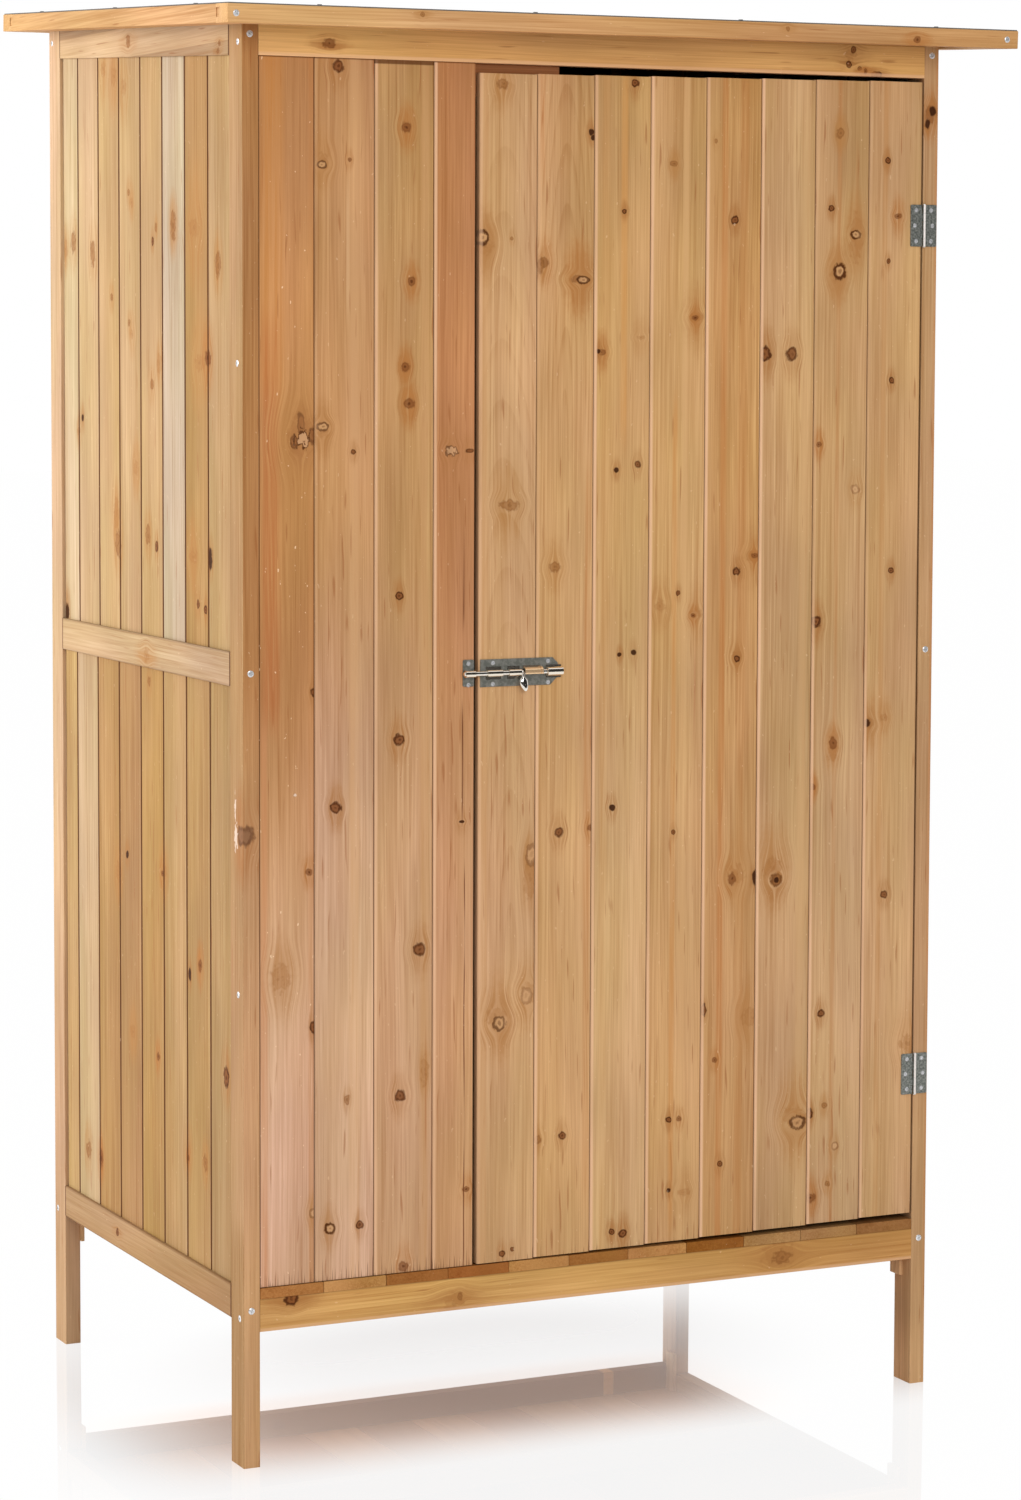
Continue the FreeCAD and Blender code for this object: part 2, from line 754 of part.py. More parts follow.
def rod_along_x(radius, x0, x1):
    return Part.makeCylinder(radius, x1 - x0, Vector(x0, rod_axis_y(), bolt_axis_z), Vector(1, 0, 0))


def make_rod():
    tip = keeper_x() - rod_tip_past_keeper
    tail = collar_x() + collar_length - rod_tail_inset
    hub0 = handle_x() - handle_hub_length / 2
    hub1 = handle_x() + handle_hub_length / 2
    rod = Part.makeCone(rod_radius - rod_tip_chamfer, rod_radius, rod_tip_chamfer,
                        Vector(tip, rod_axis_y(), bolt_axis_z), Vector(1, 0, 0))
    rod = join([rod, rod_along_x(rod_radius, tip + rod_tip_chamfer, hub0),
                rod_along_x(handle_core_radius, hub0, hub1), rod_along_x(rod_radius, hub1, tail)])
    parts["bolt_rod"] = [rod]


def make_handle():
    hub0 = handle_x() - handle_hub_length / 2 + handle_hub_end_gap
    hub1 = handle_x() + handle_hub_length / 2 - handle_hub_end_gap
    hub = rod_along_x(rod_radius, hub0, hub1)
    neck_end = -sleeve_radius - handle_neck_past_sleeve
    points = [Vector(handle_neck_radius, 0, 0), Vector(handle_neck_radius, 0, neck_end)]
    neck_line = Part.makePolygon([Vector(0, 0, 0)] + points)
    tip_start = Vector(handle_neck_radius, 0, handle_tip_length - handle_length)
    side = Part.Arc(points[-1], Vector(handle_bulb_radius, 0, -handle_length * handle_bulb_share), tip_start)
    cap = Part.makePolygon([tip_start, Vector(handle_neck_radius / 2, 0, -handle_length),
                            Vector(0, 0, -handle_length), Vector(0, 0, 0)])
    outline = Part.Wire(neck_line.Edges + [side.toShape()] + cap.Edges)
    stem = Part.Face(outline).revolve(Vector(0, 0, 0), Vector(0, 0, 1), 360)
    stem = Part.Solid(stem.Shells[0]) if stem.ShapeType != "Solid" else stem
    stem.rotate(Vector(0, 0, 0), Vector(1, 0, 0), -handle_lean)
    stem.translate(Vector(handle_x(), rod_axis_y(), bolt_axis_z))
    handle = join([hub, stem])
    bore = rod_along_x(handle_core_radius + handle_core_clearance, hub0 - cut_margin, hub1 + cut_margin)
    parts["bolt_handle"] = [handle.cut(bore)]


# Roof


def make_roof():
    groove_top = roof_groove_z + roof_groove_height
    inner_u1 = roof_width - roof_rail_width
    inner_v1 = roof_depth - roof_rail_width
    for name, v0 in (("roof_front_rail", 0.0), ("roof_back_rail", inner_v1)):
        rail = eased_box(0, roof_width, v0, v0 + roof_rail_width, 0, roof_rail_height, "x")
        groove_v0 = roof_rail_width - roof_groove_depth if v0 == 0 else inner_v1 - cut_margin
        groove_v1 = roof_rail_width + cut_margin if v0 == 0 else inner_v1 + roof_groove_depth
        rail = rail.cut(box(-cut_margin, roof_width + cut_margin, groove_v0, groove_v1,
                            roof_groove_z, groove_top))
        parts[name] = [on_roof(rail)]
    tenon_v0 = roof_rail_width - roof_groove_depth + roof_joint_gap
    tenon_v1 = inner_v1 + roof_groove_depth - roof_joint_gap
    for name, u0 in (("roof_left_rail", 0.0), ("roof_right_rail", inner_u1)):
        rail = eased_box(u0, u0 + roof_rail_width, roof_rail_width, inner_v1, 0, roof_rail_height, "y")
        rail = rail.fuse(box(u0 + eased_edge, u0 + roof_rail_width, tenon_v0, tenon_v1,
                             roof_groove_z + roof_joint_gap, groove_top - roof_joint_gap))
        groove_u0 = roof_rail_width - roof_groove_depth if u0 == 0 else inner_u1 - cut_margin
        groove_u1 = roof_rail_width + cut_margin if u0 == 0 else inner_u1 + roof_groove_depth
        rail = rail.cut(box(groove_u0, groove_u1, 0, roof_depth, roof_groove_z, groove_top))
        parts[name] = [on_roof(rail)]
    board_top = roof_groove_z + board_thickness
    entry = roof_rail_width - roof_board_entry
    spans = board_spans(entry, roof_width - entry, board_cover, board_cover)
    boards = []
    for number, (start, end) in enumerate(spans):
        outline = board_section(start, end, number > 0, number < len(spans) - 1)
        points = [Vector(along, entry, board_top - depth) for along, depth in outline]
        boards.append(on_roof(prism(points, Vector(0, roof_depth - 2 * entry, 0))))
    parts["roof_boards"] = boards
    make_felt(board_top, inner_u1, inner_v1)


def make_felt(board_top, inner_u1, inner_v1):
    high = roof_rail_height
    sheet = box(felt_inset, roof_width - felt_inset, felt_inset, roof_depth - felt_inset, high,
                high + felt_thickness)
    pan = box(roof_rail_width, inner_u1, roof_rail_width, inner_v1, board_top, high + felt_thickness)
    edge = roof_rail_width + felt_thickness
    hollow = box(edge, roof_width - edge, edge, roof_depth - edge, board_top + felt_thickness,
                 high + 2 * felt_thickness)
    parts["roof_felt"] = [on_roof(sheet.fuse(pan).cut(hollow))]
    places = []
    u = felt_nail_first
    while u < roof_width - felt_nail_edge:
        places += [(u, felt_nail_edge), (u, roof_depth - felt_nail_edge)]
        u += felt_nail_spacing
    v = felt_nail_first
    while v < roof_depth - felt_nail_edge:
        places += [(felt_nail_edge, v), (roof_width - felt_nail_edge, v)]
        v += felt_nail_spacing
    for u, v in places:
        drive_nail(u, v)


def drive_nail(u, v):
    top = roof_rail_height + felt_thickness
    nail = Part.makeCylinder(felt_nail_radius, felt_nail_head, Vector(u, v, top))
    shank = Part.makeCylinder(felt_nail_shank, felt_nail_length + felt_nail_head / 2,
                              Vector(u, v, top - felt_nail_length))
    parts.setdefault("felt_nails", []).append(on_roof(nail.fuse(shank)))
    hole_end = Vector(u, v, top - felt_nail_length - felt_nail_head / 2)
    hole = on_roof(Part.makeCylinder(felt_nail_shank + screw_hole_clearance,
                                     felt_nail_length + felt_nail_head, hole_end))
    for target in ("roof_felt", "roof_front_rail", "roof_back_rail", "roof_left_rail", "roof_right_rail"):
        parts[target] = [solid.cut(hole) if solid.BoundBox.intersect(hole.BoundBox) else solid
                         for solid in parts[target]]


def make_roof_screws():
    normal = roof_place.Rotation.multVec(Vector(0, 0, 1))
    forward = roof_place.Rotation.multVec(Vector(0, 1, 0))
    mid = roof_rail_height / 2
    for v, way in ((0.0, 1), (roof_depth, -1)):
        insets = (roof_screw_left, roof_screw_right) if v == 0 else (roof_screw_back_inset,) * 2
        for u, side_rail in ((insets[0], "roof_left_rail"), (roof_width - insets[1], "roof_right_rail")):
            drive("roof_screws", roof_screw, roof_place.multVec(Vector(u, v, mid)), forward * way,
                  ["roof_front_rail", "roof_back_rail", side_rail])
    for side, x in (("left", left + seat_screw_side), ("right", right - seat_screw_side)):
        for end, y in (("front", front + seat_screw_inset), ("back", back - seat_screw_inset)):
            flat = roof_place.inverse().multVec(Vector(x, y, front_post_height))
            point = roof_place.multVec(Vector(flat.x, flat.y, roof_groove_z + board_thickness))
            drive("roof_screws", seat_screw, point, normal * -1, ["roof_boards", "post_%s_%s" % (end, side)])


# Screws of the frame


def side_rail_middles():
    seat_front = front_post_height + roof_fall * post_depth
    seat_back = front_post_height + roof_fall * (body_depth - post_depth)
    half = side_rail_height / 2
    low = {"bottom": side_bottom_rail_z + half, "middle": side_middle_rail_z + half}
    return (dict(low, top=seat_front - top_rail_gap - half), dict(low, top=seat_back - top_rail_gap - half))


def make_frame_screws():
    front_middles, back_middles = side_rail_middles()
    for side, x in (("left", left + post_screw_side), ("right", right - post_screw_side)):
        for level in ("bottom", "middle", "top"):
            rise = roof_cross_rise * body_width if (side, level) == ("right", "top") else 0.0
            rail = "%s_%s_rail" % (side, level)
            z = front_middles[level] + front_screw_shift[level] + rise
            drive("frame_screws", frame_screw, Vector(x, front, z), Vector(0, 1, 0),
                  ["post_front_" + side, rail])
            z = back_middles[level] + back_screw_shift[level] + rise
            drive("frame_screws", frame_screw, Vector(x, back, z), Vector(0, -1, 0),
                  ["post_back_" + side, rail])
    bottom = front_bottom_rail_z + front_rail_height / 2 - rail_screw_drop
    top = front_top_rail_z + front_rail_height / 2 - rail_screw_drop
    for side, x, way in (("left", left, 1), ("right", right, -1)):
        inwards = Vector(way, 0, 0)
        post = "post_front_" + side
        for z, rail in ((bottom, "front_bottom_rail"), (top, "front_top_rail")):
            drive("frame_screws", rail_screw, Vector(x, front + rail_screw_side, z), inwards, [post, rail])
        post = "post_back_" + side
        back_top = back_rail_z() + front_rail_height / 2
        for z, rail in ((bottom, "back_bottom_rail"), (back_top, "back_top_rail")):
            drive("frame_screws", rail_screw, Vector(x, back - back_rail_screw_side, z), inwards,
                  [post, rail])
    for z in (upper_batten_z, lower_batten_z):
        drive("frame_screws", rail_screw, Vector(left, front + batten_screw_side, z), Vector(1, 0, 0),
              ["post_front_left", "fixed_panel_battens"])


os.makedirs("parts", exist_ok=True)
make_posts()
make_front_and_back_rails()
make_side("left")
make_side("right")
make_back()
make_floor()
make_fixed_panel()
make_door()
make_hinges()
make_bolt_plate()
make_keeper()
make_rod()
make_handle()
make_roof()
make_roof_screws()
make_frame_screws()

for name, solids in parts.items():
    shape = solids[0] if len(solids) == 1 else Part.makeCompound(solids)
    shape.exportStep("parts/%s.step" % name)
print(len(parts), "parts,", sum(len(solids) for solids in parts.values()), "solids")
print("left %.3f front %.3f roof %.1f x %.1f" % (left, front, roof_width, roof_depth))
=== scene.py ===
"""Looks of a garden storage cabinet: stained fir boards with their knots, galvanised hinges, a chromed
sliding bolt and a felted roof, on a white studio floor."""

import math
import random

import bmesh
import bpy
from mathutils import Matrix, Vector


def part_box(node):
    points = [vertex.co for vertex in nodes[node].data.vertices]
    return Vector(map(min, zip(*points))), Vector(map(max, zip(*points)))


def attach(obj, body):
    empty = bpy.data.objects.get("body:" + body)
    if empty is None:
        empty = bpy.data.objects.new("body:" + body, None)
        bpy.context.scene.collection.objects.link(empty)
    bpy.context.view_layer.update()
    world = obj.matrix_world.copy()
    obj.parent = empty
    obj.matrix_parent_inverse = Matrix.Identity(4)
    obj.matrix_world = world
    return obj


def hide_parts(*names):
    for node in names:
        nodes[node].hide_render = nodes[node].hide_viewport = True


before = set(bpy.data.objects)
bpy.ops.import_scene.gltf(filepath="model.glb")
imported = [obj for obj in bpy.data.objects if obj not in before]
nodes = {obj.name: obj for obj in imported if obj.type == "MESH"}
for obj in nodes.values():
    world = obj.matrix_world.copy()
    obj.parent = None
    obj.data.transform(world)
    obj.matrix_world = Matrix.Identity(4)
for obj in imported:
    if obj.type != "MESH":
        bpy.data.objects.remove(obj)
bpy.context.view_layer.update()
mm = 0.001

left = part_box("post_front_left")[0].x
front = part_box("post_front_left")[0].y


# Shaders


def paint(red, green, blue):
    """A colour as it looks on a screen, 0 to 255, in the numbers the shader wants."""

    def channel(value):
        share = value / 255
        return share / 12.92 if share <= 0.04045 else ((share + 0.055) / 1.055) ** 2.4

    return (channel(red), channel(green), channel(blue), 1.0)


class Signal:
    """An output of a shader node that can be used in sums like a number."""

    def __init__(self, finish, socket):
        self.finish = finish
        self.socket = socket

    def other(self, output):
        """Another output of the same node."""
        return Signal(self.finish, self.socket.node.outputs[output])

    def combine(self, operation, first, second):
        pair = [first, second]
        if any(isinstance(value, Signal) and value.socket.type == "VECTOR" for value in pair):
            pair = [(value,) * 3 if isinstance(value, (int, float)) else value for value in pair]
            return self.finish.node("ShaderNodeVectorMath", {"operation": operation}, pair)
        return self.finish.node("ShaderNodeMath", {"operation": operation}, pair)

    def __add__(self, other):
        return self.combine("ADD", self, other)

    def __radd__(self, other):
        return self.combine("ADD", other, self)

    def __sub__(self, other):
        return self.combine("SUBTRACT", self, other)

    def __rsub__(self, other):
        return self.combine("SUBTRACT", other, self)

    def __mul__(self, other):
        return self.combine("MULTIPLY", self, other)

    def __rmul__(self, other):
        return self.combine("MULTIPLY", other, self)

    def __truediv__(self, other):
        return self.combine("DIVIDE", self, other)

    def least(self, other):
        return self.combine("MINIMUM", self, other)

    def most(self, other):
        return self.combine("MAXIMUM", self, other)

    def size(self):
        return self.finish.node("ShaderNodeMath", {"operation": "ABSOLUTE"}, [self])

    def whole(self):
        return self.finish.node("ShaderNodeMath", {"operation": "FLOOR"}, [self])

    def fraction(self):
        return self.finish.node("ShaderNodeMath", {"operation": "FRACT"}, [self])


class Finish:
    """A material, or the world, and the nodes that make it."""

    def __init__(self, name, owner=None):
        self.material = owner or bpy.data.materials.new(name)
        self.material.use_nodes = True
        self.tree = self.material.node_tree
        self.tree.nodes.clear()

    def node(self, kind, settings=None, inputs=(), output=0):
        """Adds a node, sets it up, fills its inputs and gives one of its outputs."""
        made = self.tree.nodes.new(kind)
        for setting, value in (settings or {}).items():
            if setting == "stops":
                self.set_stops(made.color_ramp, value)
            else:
                setattr(made, setting, value)
        places = inputs.items() if isinstance(inputs, dict) else enumerate(inputs)
        for place, value in places:
            if isinstance(value, Signal):
                self.tree.links.new(value.socket, made.inputs[place])
            else:
                made.inputs[place].default_value = value
        return Signal(self, made.outputs[output]) if len(made.outputs) else None

    def set_stops(self, ramp, stops):
        ramp.interpolation = "CONSTANT"
        while len(ramp.elements) < len(stops):
            ramp.elements.new(1.0)
        for element, (position, colour) in zip(ramp.elements, stops):
            element.position = position
            element.color = colour

    def object_place(self):
        return self.node("ShaderNodeTexCoord", output="Object")

    def mix(self, share, first, second, way="MIX"):
        settings = {"data_type": "RGBA", "blend_type": way, "clamp_factor": True}
        return self.node("ShaderNodeMix", settings, {0: share, 6: first, 7: second}, 2)

    def ease(self, value, start, end, low=0.0, high=1.0):
        """Goes smoothly from low to high as value goes from start to end."""
        settings = {"interpolation_type": "SMOOTHSTEP"}
        return self.node("ShaderNodeMapRange", settings, [value, start, end, low, high])

    def noise(self, place, waves, detail=1.0):
        """Cloudy noise, 0 to 1. waves is how many there are in a metre along x, y and z."""
        inputs = {"Vector": place * waves, "Scale": 1.0, "Detail": detail}
        return self.node("ShaderNodeTexNoise", {"noise_dimensions": "3D"}, inputs, "Fac")

    def length(self, vector):
        return self.node("ShaderNodeVectorMath", {"operation": "LENGTH"}, [vector], "Value")

    def vector(self, x, y, z):
        return self.node("ShaderNodeCombineXYZ", None, [x, y, z])

    def surface(self, colour, roughness, height, bump, depth, metallic=0.0, specular=0.5):
        """Ends the material. Its relief follows height, this strongly and this deep."""
        bumped = {"Strength": bump, "Distance": depth, "Height": height}
        relief = self.node("ShaderNodeBump", None, bumped)
        inputs = {"Base Color": colour, "Roughness": roughness, "Metallic": metallic,
                  "Specular IOR Level": specular, "Normal": relief}
        shader = self.node("ShaderNodeBsdfPrincipled", None, inputs)
        self.node("ShaderNodeOutputMaterial", None, [shader])
        return self.material


# Wood

# The first two colours are a painted highlight on bevels and painted shade in seams, gaps and under
# rails, with the stain that gathers in the joints.
pale_edge_colour = paint(230, 188, 150)
seam_colour = paint(86, 46, 22)
fray_colour = paint(102, 60, 34)
speck_colour = paint(244, 214, 176)
shake_colour = paint(104, 58, 34)
fleck_colour = paint(150, 92, 50)

# How much the grain darkens and lightens red, green and blue, and for each of them how bright the
# mottling is and how far its rosy patches take it
grain_swing = (0.20, 0.28, 0.37)
mottle_of_channels = ((0.99, 0.01), (1.025, -0.01), (1.08, 0.06))

# The front's boards are paler at knee and head height: how strongly, and the wave's rate and lag, in
# radians in a metre and in radians
front_wave = 0.055
wave_rate = 8.38
wave_lag = 2.62

ring_width = 6.2 * mm

# Over how many mm a band, a shake and a painted bevel highlight fade at their ends
band_fade = 60
shake_fade = 20
bevel_highlight_fade = 120

# How each kind of knot looks: the colour and strength of the stained wood about it, of its core and of
# the rim round it, the strength of its heart, and how uneven its outline is. Later kinds are painted
# over earlier ones.
knot_columns = ("halo", "halo_share", "core", "core_share", "rim", "rim_share", "heart_share", "lumps")
knot_rows = {
    "stain": (paint(176, 126, 74), 0.45, paint(164, 112, 62), 0.35, paint(140, 92, 52), 0.1, 0.3, 1.8),
    "tight": (paint(166, 114, 64), 0.5, paint(124, 72, 36), 0.85, paint(72, 36, 16), 0.75, 0.6, 1.1),
    "red": (paint(172, 114, 60), 0.55, paint(120, 68, 32), 0.7, paint(86, 44, 20), 0.15, 0.75, 1.1),
    "faint": (paint(174, 124, 70), 0.45, paint(150, 100, 54), 0.65, paint(116, 70, 34), 0.3, 0.4, 1.5),
    "ringed": (paint(172, 122, 72), 0.4, paint(204, 160, 112), 0.6, paint(84, 46, 20), 0.85, 0.5, 0.9),
    "pale": (paint(176, 126, 74), 0.4, paint(206, 164, 120), 0.6, paint(126, 82, 46), 0.6, 0.2, 0.9),
    "dead": (paint(164, 112, 62), 0.45, paint(58, 30, 14), 0.95, paint(80, 44, 24), 0.3, 0.3, 0.8),
    "torn": (paint(168, 116, 70), 0.5, paint(202, 158, 116), 0.75, paint(92, 54, 28), 0.9, 0.0, 2.8),
    "worn": (paint(168, 110, 62), 0.4, paint(136, 98, 70), 0.9, paint(96, 60, 38), 0.6, 0.3, 0.9),
    "scar": (paint(190, 150, 110), 0.1, paint(232, 214, 196), 0.75, paint(160, 120, 84), 0.2, 0.0, 2.8),
}
knot_kinds = {kind: dict(zip(knot_columns, row)) for kind, row in knot_rows.items()}


def add_knots(finish, place, across, knots, lumps):
    """The distance to the nearest knot of each kind, in its own radii, a second one that is drawn out
    along the grain for the stained wood about it, and the grain pushed aside by all knots. A knot is
    (offset, height, radius, kind) and where needed how flat it is and how deep in the piece it lies."""
    nearest = {}
    around = {}
    bent = across
    for offset, height, radius, kind, *rest in knots:
        size = radius * mm
        flat = rest[0] if rest else 1.0
        depth = rest[1] if len(rest) > 1 else None
        scale = (1 / size, 0.0 if depth is None else 1 / size, flat / size)
        aside = (place - (offset * mm, (depth or 0.0) * mm, height * mm)) * scale
        distance = finish.length(aside)
        drawn_out = finish.length(aside * (1.0, 1.0, min(1.0, 0.42 / flat))) + lumps * 0.8
        push = finish.ease(distance, 3.2, 0.4, 0.0, 0.6)
        bent = bent - (across - offset * mm) * push
        lumpy = distance + lumps * knot_kinds[kind]["lumps"]
        nearest[kind] = nearest[kind].least(lumpy) if kind in nearest else lumpy
        around[kind] = around[kind].least(drawn_out) if kind in around else drawn_out
    return nearest, around, bent


def colour_knots(finish, colour, nearest, around, share):
    """Paints the knots. share is the grain, which shows through the stain and breaks up the rim."""
    for kind, look in knot_kinds.items():
        if kind not in nearest:
            continue
        distance = nearest[kind]
        halo = finish.ease(around[kind], 2.4, 0.7, 0.0, look["halo_share"])
        halo = halo * finish.ease(share, 0.25, 0.75, 0.5, 1.5)
        colour = finish.mix(halo, colour, look["halo"])
        core = finish.ease(distance, 0.98, 0.72, 0.0, look["core_share"])
        colour = finish.mix(core, colour, look["core"])
        off_rim = (distance - 0.8).size()
        rim = finish.ease(off_rim, 0.34, 0.08, 0.0, look["rim_share"])
        rim = rim * finish.ease(share, 0.2, 0.7, 0.7, 1.15)
        colour = finish.mix(rim, colour, look["rim"])
        heart = finish.ease(distance, 0.36, 0.08, 0.0, look["heart_share"])
        colour = finish.mix(heart, colour, look["rim"])
    return colour


def grain_of(finish, bent, through, along, arched):
    """Where the wood is late and dark, about 0 to 1, and how high its surface stands. Fibres show
    everywhere, streaks and bands in some places more than in others. arched is (strength, height) where
    a board cut from near the bark has nested arches in its growth rings, which stand above that
    height."""
    place = finish.vector(bent, through, along)
    sway = finish.noise(place, (7, 7, 1.1), 1.0) - 0.5
    swayed = finish.vector(bent + sway * 0.016, through, along)
    marked = finish.ease(finish.noise(place, (19, 19, 1.4), 1.0), 0.34, 0.66, 0.35, 1.35)
    fine = finish.noise(swayed, (700, 700, 11), 1.0) - 0.5
    streak = finish.noise(swayed, (330, 330, 4.5), 2.0) - 0.5
    band = finish.noise(swayed, (110, 110, 2.2), 1.0) - 0.5
    broad = finish.noise(swayed, (27, 27, 1.0), 0.0) - 0.5
    share = fine * 0.9 + (streak * 1.0 + band * 0.5) * marked + broad * 0.8 + 0.5
    height = fine * 0.6 + streak * marked * 0.7
    if arched:
        strength, start_height = arched
        rise = (along - start_height) * 0.09
        from_heart = finish.length(finish.vector(bent + sway * 0.05, rise, 0.0)) + sway * 0.012
        ring = (from_heart / ring_width).fraction()
        late_wood = finish.ease(ring, 0.55, 0.93) * finish.ease(ring, 1.0, 0.95)
        late_wood = late_wood * finish.ease(fine, -0.2, 0.1, 0.4)
        late_wood = late_wood * finish.ease(along, start_height - 0.1, start_height + 0.1)
        share = share + (late_wood - 0.2) * strength
        height = height + late_wood * strength
    return share, height


def paint_bands(finish, tint, bands, local, along, share):
    """Stripes along the grain: (offset, half width, colour, strength) and, where a stripe is shorter
    than its board, the heights from which and up to which it runs."""
    for offset, width, colour, strength, *heights in bands:
        band = finish.ease((local - offset * mm).size(), width * mm, width * 0.3 * mm, 0.0, strength)
        band = band * finish.ease(share, 0.2, 0.7, 0.45, 1.0)
        if heights:
            low, high = heights
            band = band * finish.ease(along, (low - band_fade) * mm, low * mm)
            band = band * finish.ease(along, (high + band_fade) * mm, high * mm)
        tint = finish.mix(band, tint, paint(*colour))
    return tint


def paint_shakes(finish, tint, shakes, local, along, patch):
    """Cracks along the grain: (offset, low end, high end, width)."""
    for offset, low, high, width in shakes:
        aside = (local + (patch - 0.5) * 0.004 - offset * mm).size()
        crack = finish.ease(aside, width * mm, width * 0.3 * mm, 0.0, 0.9)
        crack = crack * finish.ease(along, (low - shake_fade) * mm, (low + shake_fade) * mm)
        crack = crack * finish.ease(along, (high + shake_fade) * mm, (high - shake_fade) * mm)
        tint = finish.mix(crack * finish.ease(patch, 0.3, 0.5), tint, shake_colour)
    return tint


def paint_seams(finish, tint, local, along, patch, half_width, seam, seam_width, pale_edge, bevel_highlight_top):
    """Painted shade in the seam at a board's right edge, with the stain that gathers there. At its left
    edge is the same shade or a painted highlight on the bevel, which is faint above the highlight's top
    height."""
    from_left = local + half_width * mm
    right_edge = 2 * half_width
    inner = seam_width * 0.45
    # Painted shade in the seam, with the stain that gathers there
    dark = finish.ease(from_left, (right_edge - seam_width) * mm, (right_edge - inner) * mm, 0.0, seam)
    if pale_edge:
        # A painted highlight on the left bevel
        pale = finish.ease(from_left, 5.0 * mm, 2.6 * mm, 0.0, pale_edge)
        if bevel_highlight_top:
            low, high = (bevel_highlight_top - bevel_highlight_fade) * mm, (bevel_highlight_top + bevel_highlight_fade) * mm
            pale = pale * finish.ease(along, high, low, 0.25, 1.0)
        tint = finish.mix(pale * finish.ease(patch, 0.3, 0.6, 0.6, 1.0), tint, pale_edge_colour)
    else:
        dark = dark.most(finish.ease(from_left, seam_width * mm, inner * mm, 0.0, seam * 0.9))
    return finish.mix(dark, tint, seam_colour)


def paint_fray(finish, tint, local, along, fray):
    """A dark, ragged lower end whose fibres are torn up to uneven heights."""
    ragged = finish.noise(finish.vector(local, 0.0, 0.0), (640, 0, 0), 2.0)
    clump = finish.noise(finish.vector(local, 0.0, 3.0), (70, 0, 1), 1.0)
    clump = finish.ease(clump, 0.35, 0.65, 0.1, 1.0)
    torn_height = (ragged - 0.5).most(0.0) * clump * 0.2 + (fray - 3) * mm
    worn = finish.ease(along - torn_height, 5 * mm, -2 * mm, 0.0, 0.65)
    return finish.mix(worn, tint, fray_colour)


